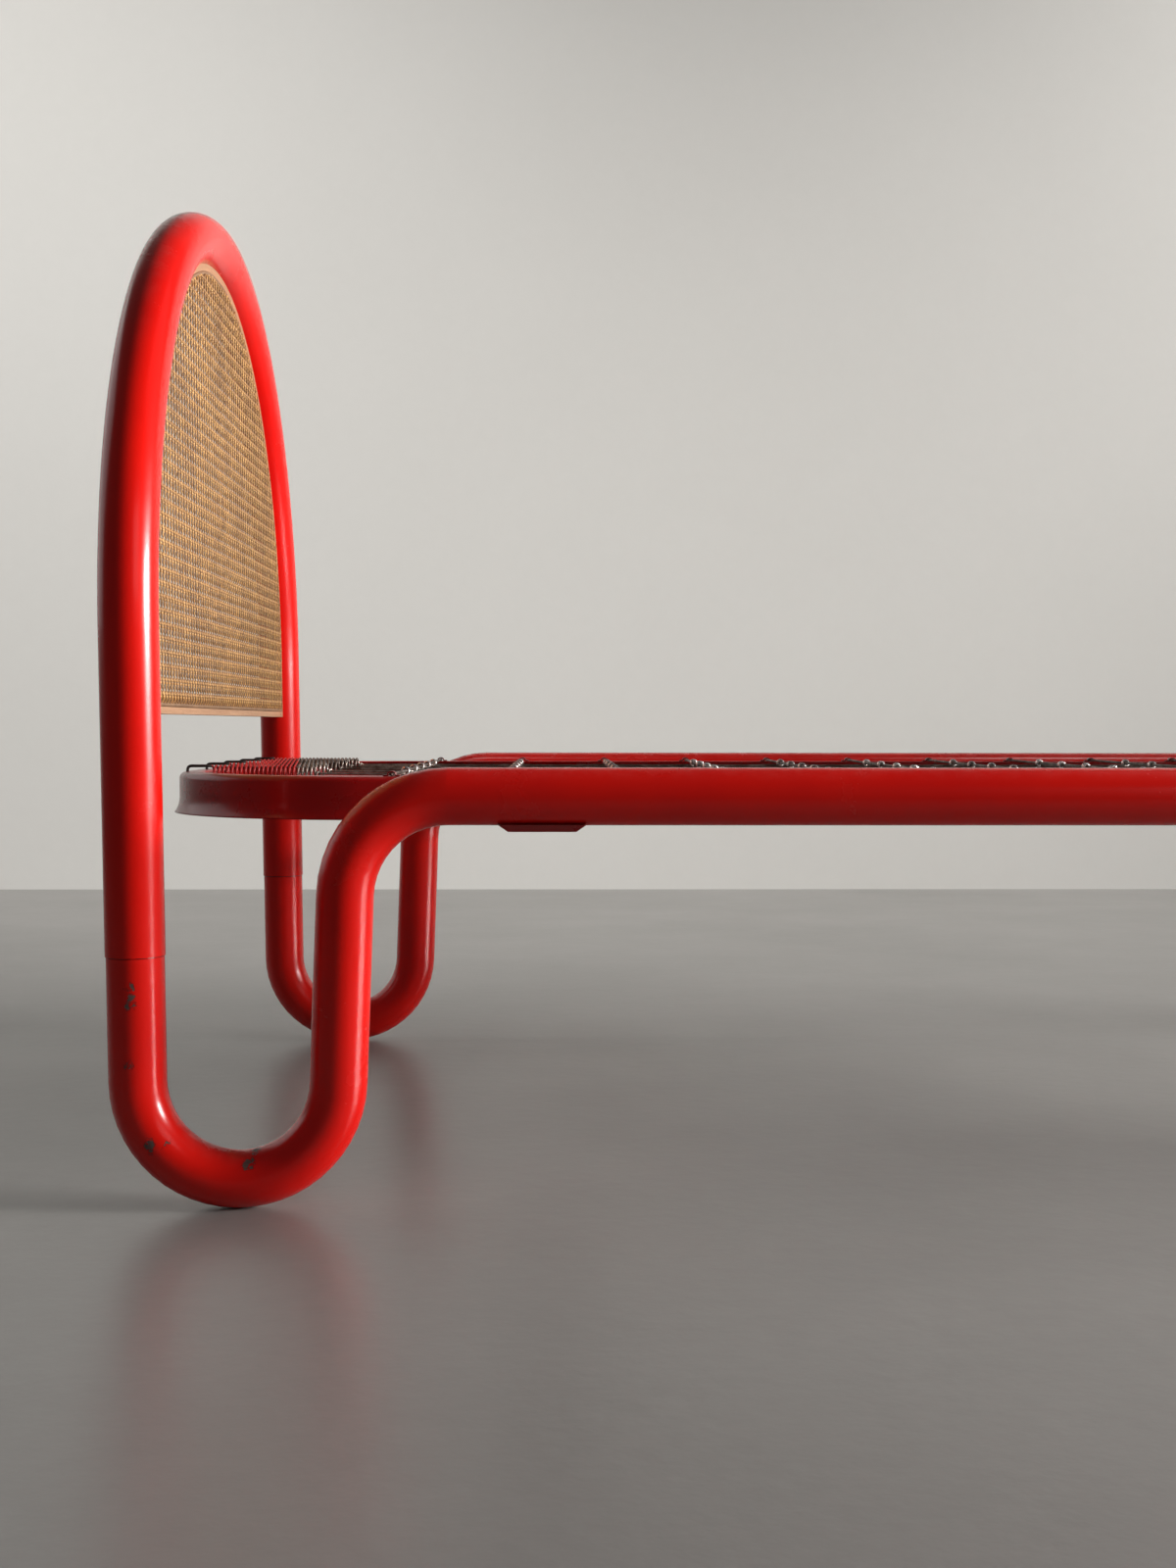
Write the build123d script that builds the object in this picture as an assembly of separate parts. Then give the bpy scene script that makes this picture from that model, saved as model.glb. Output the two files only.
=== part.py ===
from build123d import *
import math
import os

# Single bed frame: two bent side tubes, a round-headed arch with a cane panel at each end, and a
# sprung wire base between them. Millimetres, +Z up, +X towards the foot end, +Y to the left of a
# person who lies with the head at -X. The origin is on the floor, under the middle of the frame.

# ---------------------------------------------------------------- driving dimensions
FRAME_LENGTH = 1900.0      # between the leaning planes of the two arches, at floor level
TRACK = 860.0              # between the axes of the two side tubes
RAIL_Z = 356.6             # axis of a side tube's level rail
SIDE_OD = 50.0
SIDE_WALL = 2.0
FOOT_BEND_R = 86.7         # axis radius of the U-bend that stands on the floor
RAIL_BEND_R = 88.5         # axis radius of the bend from the inner leg into the rail
OUTER_LEAN = 0.81          # degrees: the outer legs and the arches lean outwards
INNER_LEAN = 2.06          # degrees: the inner legs lean towards the bed's middle
SEAM_HEIGHT = 218.3        # along an outer leg, from the floor to the seam under the arch

ARCH_WALL = 2.72
SEAM_GAP = 0.8             # between the ends of the two tubes at a seam
HEAD_LEG = 281.4           # from the seam to where the head arch's round part begins
FOOT_LEG = 91.7            # the same on the foot arch: longer than a spigot's upper part

SPIGOT_WALL = 3.0
SPIGOT_CLEARANCE = 0.08    # radial, between a spigot and the arch tube that slides over it
SPIGOT_IN_SIDE = 70.0      # length pressed into the side tube
SPIGOT_IN_ARCH = 80.0      # length that stands up into the arch tube
SPIGOT_CHAMFER = 2.0

PANEL_GAP = 56.2           # from the base rim's top to a panel's wooden rail
LATH_WIDTH = 18.0          # of the bent lath and of the bottom rail, seen from the front
LATH_DEPTH = 14.0          # front to back
SPLINE_INSET = 6.5         # plain wood between the lath's outer edge and the groove
SPLINE_WIDTH = 4.4
SPLINE_DEPTH = 4.0
SPLINE_PROUD = 1.0         # the spline stands out of the front face by this much
CANE_THICKNESS = 1.6

SCREW_SHANK = 3.5
SCREW_HEAD = 7.0
SCREW_HEAD_DEPTH = 2.4
SCREW_BITE = 2.0           # a screw reaches this far into the tube's wall
SCREW_COUNT = 5
SCREW_MARGIN = 12.0        # from the bottom rail to the lowest screws
NAIL_SHANK = 1.8
NAIL_HEAD = 3.6
NAIL_HEAD_DEPTH = 0.8
NAIL_LENGTH = 12.0
NAIL_INSET = 16.0          # from the arch tube's inner side to a nail in the bottom rail

BASE_OVERHANG = 15.0       # the rim's end walls stand out past the arch planes' floor lines
RIM_SIDE_GAP = 45.0        # between a side tube and the rim's wall
RIM_HEIGHT = 39.2
RIM_WALL = 2.0
RIM_CORNER_R = 200.0       # plan radius of the rim's corners
RIM_SHOULDER_R = 6.0       # outer radius between the wall and the top flange
RIM_FLANGE = 20.0          # width of the inward top flange, from the wall's outer face
RIM_FLARE = 5.0            # the lower edge stands out by this much
RIM_FLARE_HEIGHT = 16.0

MEMBER_OFFSET = 348.0      # from an arch plane to the cross member's middle
MEMBER_TOP_WIDTH = 76.0
MEMBER_BOTTOM_WIDTH = 59.0
MEMBER_DEPTH = 6.5
MEMBER_SHEET = 2.0
MEMBER_OVERHANG = 14.0     # past the axis of each side tube
MEMBER_BITE = 1.0          # a side tube sits this deep in its saddle

ROW_COUNT = 5
ROW_MARGIN = 160.0         # from the rim's long side to the outermost row of springs
STATION_PITCH = 104.4
HEAD_MARGIN = 226.0        # from the rim's head end to the first cross wire
WIRE_D = 3.0
SPRING_OD = 13.0
SPRING_WIRE = 2.4
SPRING_LENGTH = 106.0
SPRING_INSET = 36.0        # from the rim's outer face to the first turn
SPRING_TAPER = 7.0         # length of the coned last turns
HOOK_INSET = 12.0          # from the rim's outer face to the hole that a hook goes through
HOOK_HOLE_GAP = 0.3        # around the wire in that hole
HOOK_DEPTH = 4.0           # a hook's end reaches this far below the flange
HOOK_BEND_R = 3.5

TAB_LENGTH = 16.0
TAB_SHEET = 1.6
TAB_WIDTH = 9.0
TAB_GAP = 0.2              # around the cross wire under a tab

# ---------------------------------------------------------------- values that follow from them
HALF_LENGTH = FRAME_LENGTH / 2
HALF_TRACK = TRACK / 2
SIDE_R = SIDE_OD / 2
SIDE_BORE_R = SIDE_R - SIDE_WALL
ARCH_R = HALF_TRACK
ARCH_BORE_R = SIDE_BORE_R + SPIGOT_CLEARANCE
ARCH_TUBE_R = ARCH_BORE_R + ARCH_WALL
HEAD_SPRINGING = SEAM_HEIGHT + HEAD_LEG
FOOT_SPRINGING = SEAM_HEIGHT + FOOT_LEG
LEAN = math.radians(OUTER_LEAN)
INNER = math.radians(INNER_LEAN)

RAIL_UNDERSIDE = RAIL_Z - SIDE_R
MEMBER_TOP = RAIL_UNDERSIDE + MEMBER_BITE
RIM_BOTTOM = MEMBER_TOP
RIM_TOP = RIM_BOTTOM + RIM_HEIGHT
PANEL_BOTTOM = RIM_TOP + PANEL_GAP
BASE_HALF_LENGTH = HALF_LENGTH + BASE_OVERHANG
BASE_HALF_WIDTH = HALF_TRACK - SIDE_R - RIM_SIDE_GAP
ROW_PITCH = 2 * (BASE_HALF_WIDTH - ROW_MARGIN) / (ROW_COUNT - 1)
CROSS_Z = RIM_TOP + WIRE_D / 2
LINE_Z = CROSS_Z - WIRE_D
SPRING_WIRE_R = SPRING_WIRE / 2
HOOK_Z = LINE_Z + SPRING_OD / 2 - SPRING_WIRE_R / 2
STATION_COUNT = 1 + int((2 * BASE_HALF_LENGTH - 2 * HEAD_MARGIN) / STATION_PITCH)
FIRST_STATION = -BASE_HALF_LENGTH + HEAD_MARGIN
LAST_STATION = FIRST_STATION + (STATION_COUNT - 1) * STATION_PITCH
FOOT_MARGIN = BASE_HALF_LENGTH - LAST_STATION
STATIONS = [FIRST_STATION + i * STATION_PITCH for i in range(STATION_COUNT)]
ROWS = [(i - (ROW_COUNT - 1) / 2) * ROW_PITCH for i in range(ROW_COUNT)]

# The head arch's plane: local X is across the bed, local Y runs up the leaning legs, and local Z
# points towards the bed's middle. Foot-end pieces are made here too, and then mirrored.
ARCH_PLANE = Plane(
    origin=(-HALF_LENGTH, 0, 0),
    x_dir=(0, 1, 0),
    z_dir=(math.cos(LEAN), 0, math.sin(LEAN)),
)


def reach(springing):
    """How far an arch's outermost point is from the bed's middle."""
    top = springing + ARCH_R
    return HALF_LENGTH + top * math.sin(LEAN) + ARCH_TUBE_R


# The arches differ in height and lean, so the taller one reaches further. This shift puts the
# origin under the middle of the whole frame.
CENTRE_SHIFT = (reach(HEAD_SPRINGING) - reach(FOOT_SPRINGING)) / 2


def save(node, shape):
    """Write one node's solids, moved so that the origin is under the frame's middle."""
    export_step(Pos(CENTRE_SHIFT, 0, 0) * shape, f"parts/{node}.step")


def to_foot(shape):
    """The foot-end copy of a piece that was made for the head end."""
    return mirror(shape, about=Plane.YZ)


def joined(*pieces):
    """One wire from edges that meet end to end."""
    return Wire([edge for piece in pieces for edge in piece.edges()])


def rod_along(path, rod_r):
    """A round rod along a path of edges."""
    return sweep(Plane(origin=path @ 0, z_dir=path % 0) * Circle(rod_r), path=path)


def tube_along(path, outer_r, bore_r):
    """A round tube along a path of edges."""
    return rod_along(path, outer_r) - rod_along(path, bore_r)


def arc_about(centre, radius, start, end):
    """The short arc about a centre in the XZ plane, between two of its points."""
    middle = (start + end) / 2 - centre
    return ThreePointArc(start, centre + middle.normalized() * radius, end)


# ---------------------------------------------------------------- side tubes and spigots
def leg_point(length):
    """A point on the head end's outer leg axis, at a length up from the floor."""
    return Vector(-HALF_LENGTH - length * math.sin(LEAN), 0, length * math.cos(LEAN))


def end_bends():
    """Axis edges at the head end, from the seam to where the level rail starts."""
    foot_z = FOOT_BEND_R + SIDE_R
    bend_length = (foot_z - FOOT_BEND_R * math.sin(LEAN)) / math.cos(LEAN)
    foot_in = leg_point(bend_length)
    foot_centre = foot_in + Vector(math.cos(LEAN), 0, math.sin(LEAN)) * FOOT_BEND_R
    foot_out = foot_centre + Vector(math.cos(INNER), 0, -math.sin(INNER)) * FOOT_BEND_R
    foot_low = foot_centre - Vector(0, 0, FOOT_BEND_R)

    rail_centre_z = RAIL_Z - RAIL_BEND_R
    rise = rail_centre_z + RAIL_BEND_R * math.sin(INNER) - foot_out.Z
    leg_top = foot_out + Vector(math.sin(INNER), 0, math.cos(INNER)) * (rise / math.cos(INNER))
    rail_centre = leg_top + Vector(math.cos(INNER), 0, -math.sin(INNER)) * RAIL_BEND_R
    rail_start = rail_centre + Vector(0, 0, RAIL_BEND_R)

    seam = leg_point(SEAM_HEIGHT)
    return [
        Line(seam, foot_in),
        ThreePointArc(foot_in, foot_low, foot_out),
        Line(foot_out, leg_top),
        arc_about(rail_centre, RAIL_BEND_R, leg_top, rail_start),
    ]


def side_tube(side):
    """One bent side tube, from the head seam to the foot seam."""
    head = end_bends()
    foot = [mirror(edge, about=Plane.YZ) for edge in head]
    rail_start = head[-1] @ 1
    rail = Line(rail_start, (-rail_start.X, 0, rail_start.Z))
    tube = tube_along(joined(*head, rail, *reversed(foot)), SIDE_R, SIDE_BORE_R)
    return Pos(0, side * HALF_TRACK, 0) * tube


def spigot(side):
    """The sleeve in a seam: pressed into the side tube, and standing up into the arch tube."""
    bottom = SEAM_HEIGHT - SPIGOT_IN_SIDE
    length = SPIGOT_IN_SIDE + SPIGOT_IN_ARCH
    sleeve = extrude(Circle(SIDE_BORE_R) - Circle(SIDE_BORE_R - SPIGOT_WALL), length)
    outer_rim = sleeve.edges().filter_by(GeomType.CIRCLE).group_by(Axis.Z)[-1].sort_by(SortBy.RADIUS)[-1]
    sleeve = chamfer(outer_rim, SPIGOT_CHAMFER)
    upright = Plane(origin=(0, bottom, 0), x_dir=(1, 0, 0), z_dir=(0, 1, 0))
    return ARCH_PLANE * (Pos(side * ARCH_R, 0, 0) * (upright * sleeve))


# ---------------------------------------------------------------- arches and their cane panels
def arch_path(springing, foot):
    """Axis of an arch tube in the arch plane's own coordinates."""
    crown = (0, springing + ARCH_R, 0)
    left = Line((-ARCH_R, foot, 0), (-ARCH_R, springing, 0))
    head = ThreePointArc((-ARCH_R, springing, 0), crown, (ARCH_R, springing, 0))
    right = Line((ARCH_R, springing, 0), (ARCH_R, foot, 0))
    return joined(left, head, right)


def half_width(inset, height, springing):
    """Half the width at a height of an arch shape that is inset from the arch tube's axis."""
    above = max(0.0, height - springing)
    return math.sqrt((ARCH_R - inset) ** 2 - above**2)


def arch_outline(inset, bottom, springing):
    """Face of a panel shape whose edge is inset from the arch tube's axis."""
    w = half_width(inset, bottom, springing)
    shoulder = max(bottom, springing)
    crown = springing + ARCH_R - inset
    foot = Line((-w, bottom), (w, bottom)).edges()
    head = ThreePointArc((w, shoulder), (0, crown), (-w, shoulder)).edges()
    if shoulder > bottom:
        head += Line((w, bottom), (w, shoulder)).edges() + Line((-w, bottom), (-w, shoulder)).edges()
    return make_face(foot + head)


def slab(face, back, front):
    """A flat piece between two distances from the arch plane."""
    return Pos(0, 0, back) * extrude(face, front - back)


# The lath's flat outer edge would meet the round tube at this distance from the tube's axis.
LATH_SEAT = math.sqrt(ARCH_TUBE_R**2 - (LATH_DEPTH / 2) ** 2)
GROOVE_OUTER = ARCH_TUBE_R + SPLINE_INSET
GROOVE_INNER = GROOVE_OUTER + SPLINE_WIDTH
LATH_FRONT = LATH_DEPTH / 2


def groove(bottom, springing, front):
    """The loop of the spline's groove, from its floor to the given front."""
    outer = arch_outline(GROOVE_OUTER, bottom + SPLINE_INSET, springing)
    inner = arch_outline(GROOVE_INNER, bottom + SPLINE_INSET + SPLINE_WIDTH, springing)
    return slab(outer - inner, LATH_FRONT - SPLINE_DEPTH, front)


def panel_screws(bottom, springing):
    """Countersunk screws from the lath's inner edge into the arch tube."""
    low = Align.CENTER, Align.CENTER, Align.MIN
    start = ARCH_R - ARCH_TUBE_R - LATH_WIDTH
    length = LATH_WIDTH + SCREW_BITE
    shank = Cylinder(SCREW_SHANK / 2, length, align=low)
    head = Cone(SCREW_HEAD / 2, SCREW_SHANK / 2, SCREW_HEAD_DEPTH, align=low)
    screw = Plane(origin=(start, 0, 0), x_dir=(0, 1, 0), z_dir=(1, 0, 0)) * (shank + head)
    lowest = max(0.0, bottom + LATH_WIDTH + SCREW_MARGIN - springing)
    first = math.degrees(math.asin(lowest / start))
    step = (180 - 2 * first) / (SCREW_COUNT - 1)
    return [Pos(0, springing, 0) * Rot(0, 0, first + i * step) * screw for i in range(SCREW_COUNT)]


def panel_nails(bottom, springing):
    """Nails through the halved joints at the ends of the bottom rail."""
    high = Align.CENTER, Align.CENTER, Align.MAX
    shank = Cylinder(NAIL_SHANK / 2, NAIL_LENGTH, align=high)
    head = Cylinder(NAIL_HEAD / 2, NAIL_HEAD_DEPTH, align=high)
    y = bottom + SPLINE_INSET / 2
    x = half_width(ARCH_TUBE_R, y, springing) - NAIL_INSET
    return [Pos(side * x, y, LATH_FRONT) * (shank + head) for side in (-1, 1)]


def arch_pieces(prefix, springing, bottom):
    """All pieces of one arch, named, in the head end's place."""
    tube = tube_along(arch_path(springing, SEAM_HEIGHT + SEAM_GAP), ARCH_TUBE_R, ARCH_BORE_R)
    rod = rod_along(arch_path(springing, SEAM_HEIGHT), ARCH_TUBE_R)
    screws = panel_screws(bottom, springing)
    nails = panel_nails(bottom, springing)
    spline = groove(bottom, springing, LATH_FRONT + SPLINE_PROUD)

    inner_edge = ARCH_TUBE_R + LATH_WIDTH
    rail_top = bottom + LATH_WIDTH
    ring = arch_outline(LATH_SEAT, bottom, springing) - arch_outline(inner_edge, rail_top, springing)
    frame = slab(ring, -LATH_FRONT, LATH_FRONT) - rod - spline

    # The lath and the rail are halved into each other at the corners: the rail keeps the front.
    middle = (bottom + rail_top) / 2
    front = Pos(0, middle, LATH_FRONT / 2) * Box(2 * ARCH_R, LATH_WIDTH, LATH_FRONT)
    between = 2 * half_width(inner_edge, rail_top, springing)
    back = Pos(0, middle, -LATH_FRONT / 2) * Box(between, LATH_WIDTH, LATH_FRONT)
    rail = frame & (front + back)
    lath = frame - (front + back)

    cane_bottom = bottom + SPLINE_INSET + SPLINE_WIDTH
    cane_face = arch_outline(GROOVE_INNER, cane_bottom, springing)
    cane = slab(cane_face, LATH_FRONT, LATH_FRONT + CANE_THICKNESS)
    for screw in screws:
        lath -= screw
        tube -= screw
    for nail in nails:
        lath -= nail
        rail -= nail

    pieces = {
        "arch_tube": tube,
        "panel_lath": lath,
        "panel_bottom_rail": rail,
        "cane_sheet": cane,
        "cane_spline": spline,
        "panel_screws": Compound(children=screws),
        "panel_nails": Compound(children=nails),
    }
    return {f"{prefix}_{name}": ARCH_PLANE * piece for name, piece in pieces.items()}


# ---------------------------------------------------------------- mattress base
def plan(inset):
    """The rim's rounded outline, inset all round from its outer face."""
    return RectangleRounded(
        2 * (BASE_HALF_LENGTH - inset), 2 * (BASE_HALF_WIDTH - inset), RIM_CORNER_R - inset
    )


def base_rim():
    """Pressed rim: wall, rounded shoulder, narrow top flange and a flared lower edge."""
    outer = extrude(plan(0), RIM_HEIGHT)
    outer = fillet(outer.faces().sort_by(Axis.Z)[-1].edges(), RIM_SHOULDER_R)
    hollow = extrude(plan(RIM_WALL), RIM_HEIGHT - RIM_WALL)
    hollow = fillet(hollow.faces().sort_by(Axis.Z)[-1].edges(), RIM_SHOULDER_R - RIM_WALL)
    opening = extrude(plan(RIM_SHOULDER_R + RIM_FLANGE - RIM_WALL), 2 * RIM_HEIGHT)
    flare = loft([plan(-RIM_FLARE), Pos(0, 0, RIM_FLARE_HEIGHT) * plan(0)])
    flare_hollow = loft([plan(RIM_WALL - RIM_FLARE), Pos(0, 0, RIM_FLARE_HEIGHT) * plan(RIM_WALL)])
    rim = outer + flare - hollow - flare_hollow - opening
    return Pos(0, 0, RIM_BOTTOM) * rim


def pan_block(shrink, floor):
    """A block with sloping sides: the pressed pan's outside, or with a shrink its hollow."""
    length = TRACK + 2 * MEMBER_OVERHANG
    slope = (MEMBER_TOP_WIDTH - MEMBER_BOTTOM_WIDTH) / 2
    bottom = Rectangle(MEMBER_BOTTOM_WIDTH - 2 * shrink, length - 2 * slope - 2 * shrink)
    top = Rectangle(MEMBER_TOP_WIDTH - 2 * shrink, length - 2 * shrink)
    return loft([Pos(0, 0, floor) * bottom, Pos(0, 0, MEMBER_DEPTH) * top])


def cross_member():
    """Shallow pressed pan under both side tubes, near the head end."""
    pan = pan_block(0, 0) - pan_block(MEMBER_SHEET, MEMBER_SHEET)
    x = -HALF_LENGTH + MEMBER_OFFSET
    pan = Pos(x, 0, MEMBER_TOP - MEMBER_DEPTH) * pan
    for side in (-1, 1):
        rail = Rot(0, 90, 0) * Cylinder(SIDE_R, 2 * MEMBER_TOP_WIDTH)
        pan -= Pos(x, side * HALF_TRACK, RAIL_Z) * rail
    return pan


def hook_holes():
    """Round punches through the flange at both ends, one for each spring."""
    punch = Cylinder(SPRING_WIRE_R + HOOK_HOLE_GAP, 4 * RIM_WALL)
    x = BASE_HALF_LENGTH - HOOK_INSET
    return [Pos(end * x, y, RIM_TOP) * punch for end in (-1, 1) for y in ROWS]


def hook_tabs(side):
    """Pressed straps over the ends of the cross wires, on one long side of the rim."""
    low = Align.CENTER, Align.CENTER, Align.MIN
    rise = WIRE_D + TAB_GAP
    strap = Box(TAB_LENGTH, TAB_WIDTH, rise + TAB_SHEET, align=low)
    strap = fillet(strap.edges().filter_by(Axis.Y).group_by(Axis.Z)[-1], 2 * TAB_SHEET)
    tunnel = Box(WIRE_D + 2 * TAB_GAP, TAB_WIDTH, rise, align=low)
    tab = strap - tunnel
    y = side * (BASE_HALF_WIDTH - RIM_SHOULDER_R - TAB_WIDTH / 2)
    return [Pos(x, y, RIM_TOP) * tab for x in STATIONS]


def cross_wires():
    """Straight wires across the base, one at each station."""
    wire = Rot(90, 0, 0) * Cylinder(WIRE_D / 2, 2 * (BASE_HALF_WIDTH - RIM_SHOULDER_R))
    return [Pos(x, 0, CROSS_Z) * wire for x in STATIONS]


def net_line(y):
    """One lengthwise wire under the cross wires, from the first of them to the last."""
    overrun = 2 * WIRE_D
    length = LAST_STATION - FIRST_STATION + 2 * overrun
    rod = Rot(0, 90, 0) * Cylinder(WIRE_D / 2, length)
    return Pos((FIRST_STATION + LAST_STATION) / 2, y, LINE_Z) * rod


def end_spring(margin, y):
    """A tension spring at the head end: hook, close coils, coned end and a stem to the net."""
    end_x = -BASE_HALF_LENGTH
    first = end_x + SPRING_INSET
    last = first + SPRING_LENGTH
    along = Align.CENTER, Align.CENTER, Align.MIN
    coil_length = SPRING_LENGTH - SPRING_TAPER
    outer = Cylinder(SPRING_OD / 2, coil_length, align=along)
    inner = Cylinder(SPRING_OD / 2 - SPRING_WIRE, coil_length, align=along)
    cone = Pos(0, 0, coil_length) * Cone(SPRING_OD / 2, WIRE_D / 2, SPRING_TAPER, align=along)
    stem_length = margin - SPRING_INSET - SPRING_LENGTH - 2 * WIRE_D
    stem = Pos(0, 0, SPRING_LENGTH) * Cylinder(WIRE_D / 2, stem_length, align=along)
    body = Pos(first, 0, LINE_Z) * Rot(0, 90, 0) * (outer - inner + cone + stem)

    hole_x = end_x + HOOK_INSET
    reach_in = first + SPRING_WIRE
    low_z = RIM_TOP - RIM_WALL - HOOK_DEPTH
    corners = [(reach_in, 0, HOOK_Z), (hole_x, 0, HOOK_Z), (hole_x, 0, low_z)]
    line = FilletPolyline(*corners, radius=HOOK_BEND_R)
    return Pos(0, y, 0) * (body + rod_along(joined(line), SPRING_WIRE_R))


# ---------------------------------------------------------------- all nodes
def main():
    """Write one STEP file for each node."""
    os.makedirs("parts", exist_ok=True)
    for side, name in ((1, "left"), (-1, "right")):
        save(f"{name}_side_tube", side_tube(side))
        save(f"head_{name}_spigot", spigot(side))
        save(f"foot_{name}_spigot", to_foot(spigot(side)))
        save(f"{name}_hook_tabs", Compound(children=hook_tabs(side)))

    for node, piece in arch_pieces("head", HEAD_SPRINGING, PANEL_BOTTOM).items():
        save(node, piece)
    for node, piece in arch_pieces("foot", FOOT_SPRINGING, PANEL_BOTTOM).items():
        save(node, to_foot(piece))

    rim = base_rim()
    for punch in hook_holes():
        rim -= punch
    save("base_rim", rim)
    save("head_cross_member", cross_member())
    save("foot_cross_member", to_foot(cross_member()))
    save("cross_wires", Compound(children=cross_wires()))

    for number, y in enumerate(ROWS, start=1):
        save(f"net_line_{number}", net_line(y))
        save(f"head_spring_{number}", end_spring(HEAD_MARGIN, y))
        save(f"foot_spring_{number}", to_foot(end_spring(FOOT_MARGIN, y)))


main()
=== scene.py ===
"""Looks for a single bed frame of bent red tube: enamel, cane panels and a sprung wire base."""

import logging
import math
from collections.abc import Sequence
from dataclasses import dataclass, field
from enum import Enum

import bpy
import numpy as np
from mathutils import Matrix, Vector

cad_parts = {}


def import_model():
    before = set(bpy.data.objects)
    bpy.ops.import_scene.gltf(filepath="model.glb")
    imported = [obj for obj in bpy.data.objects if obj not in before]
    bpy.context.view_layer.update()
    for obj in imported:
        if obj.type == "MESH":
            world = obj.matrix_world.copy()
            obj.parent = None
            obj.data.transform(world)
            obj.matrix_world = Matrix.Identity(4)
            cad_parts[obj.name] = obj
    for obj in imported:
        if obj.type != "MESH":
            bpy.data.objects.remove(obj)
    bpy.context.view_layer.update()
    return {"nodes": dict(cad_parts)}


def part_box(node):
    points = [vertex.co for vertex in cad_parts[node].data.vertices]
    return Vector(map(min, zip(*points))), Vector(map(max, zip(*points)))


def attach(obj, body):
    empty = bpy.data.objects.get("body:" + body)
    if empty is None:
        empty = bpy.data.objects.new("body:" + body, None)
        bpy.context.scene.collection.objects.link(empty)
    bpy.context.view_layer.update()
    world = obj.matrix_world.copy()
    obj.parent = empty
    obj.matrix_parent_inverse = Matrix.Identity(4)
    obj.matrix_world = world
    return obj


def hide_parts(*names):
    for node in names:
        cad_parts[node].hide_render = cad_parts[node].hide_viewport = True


LOG = logging.getLogger("bed")

Array = np.ndarray
Colour = tuple[float, float, float, float]
Material = bpy.types.Material
Node = bpy.types.Node
Outputs = bpy.types.bpy_prop_collection
Piece = bpy.types.Object
Socket = bpy.types.NodeSocket
ACROSS = np.array((0.0, 1.0, 0.0))
UP = np.array((0.0, 0.0, 1.0))


class End(Enum):
    """The two ends of the bed."""

    HEAD = "head"
    FOOT = "foot"

    @property
    def outward(self) -> float:
        """Sign of X from the bed's middle to this end."""
        return -1.0 if self is End.HEAD else 1.0

    @property
    def body(self) -> str:
        """Name of the body that this end's arch moves with."""
        return f"{self.value}_arch"


# ------------------------------------------------------------------ shader building blocks
class Sheet:
    """A node tree that is being drawn, with short ways to add and join nodes."""

    def __init__(self, tree: bpy.types.NodeTree) -> None:
        """Start on the emptied node tree of a material or of a group."""
        self.tree = tree
        tree.nodes.clear()

    def node(self, kind: str, settings: dict | None = None, **inputs: object) -> Node:
        """Add a node.

        Args:
            kind: The node's type name.
            settings: Properties of the node itself.
            **inputs: Values or sockets for its inputs, with _ for a space in their names.

        Returns:
            The new node.
        """
        made = self.tree.nodes.new(kind)
        for key, value in (settings or {}).items():
            setattr(made, key, value)
        self.fill(made, **inputs)
        return made

    def fill(self, node: Node, **inputs: object) -> None:
        """Feed a node's inputs by their names, with _ for a space."""
        for key, value in inputs.items():
            self.feed(node.inputs[key.replace("_", " ")], value)

    def feed(self, socket: Socket, value: object) -> None:
        """Link a socket to an input, or set its plain value.

        Args:
            socket: The input socket.
            value: Another node's output, or a number, vector or colour.
        """
        if isinstance(value, Socket):
            self.tree.links.new(value, socket)
        else:
            socket.default_value = value

    def math(self, operation: str, *values: object, clamp: bool = False) -> Socket:
        """A Math node's result.

        Args:
            operation: The Math node's operation.
            *values: Its inputs in order.
            clamp: Whether the result is held between 0 and 1.

        Returns:
            The output socket.
        """
        made = self.tree.nodes.new("ShaderNodeMath")
        made.operation = operation
        made.use_clamp = clamp
        for socket, value in zip(made.inputs, values):
            self.feed(socket, value)
        return made.outputs[0]

    def noise(
        self, vector: Socket, scale: float, detail: float = 3.0, rough: float = 0.55
    ) -> Socket:
        """Smooth noise from 0 to 1 with so many features in a metre, octaves and fine share."""
        kind = "ShaderNodeTexNoise"
        return self.node(
            kind, Vector=vector, Scale=scale, Detail=detail, Roughness=rough
        ).outputs["Fac"]

    def ramp(self, value: Socket, low: float, high: float) -> Socket:
        """The value moved smoothly from low to high onto 0 to 1."""
        smooth = {"interpolation_type": "SMOOTHSTEP"}
        made = self.node("ShaderNodeMapRange", smooth, Value=value, From_Min=low, From_Max=high)
        return made.outputs["Result"]

    def mix(self, factor: object, first: object, second: object, blend: str = "MIX") -> Socket:
        """Two colours mixed.

        Args:
            factor: How much of the second.
            first: The first colour.
            second: The second colour.
            blend: The Mix node's blend type.

        Returns:
            The mixed colour.
        """
        made = self.tree.nodes.new("ShaderNodeMix")
        made.data_type = "RGBA"
        made.blend_type = blend
        self.feed(made.inputs[0], factor)
        self.feed(made.inputs[6], first)
        self.feed(made.inputs[7], second)
        return made.outputs[2]

    def place(self) -> Socket:
        """Position on the object, in metres."""
        return self.node("ShaderNodeTexCoord").outputs["Object"]

    def along(self) -> Socket:
        """Position along and across a strand or wire."""
        return self.node("ShaderNodeTexCoord").outputs["UV"]

    def stretch(self, vector: Socket, scale: Sequence[float]) -> Socket:
        """A position scaled differently along each axis."""
        return self.node("ShaderNodeMapping", Vector=vector, Scale=tuple(scale)).outputs["Vector"]


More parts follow.
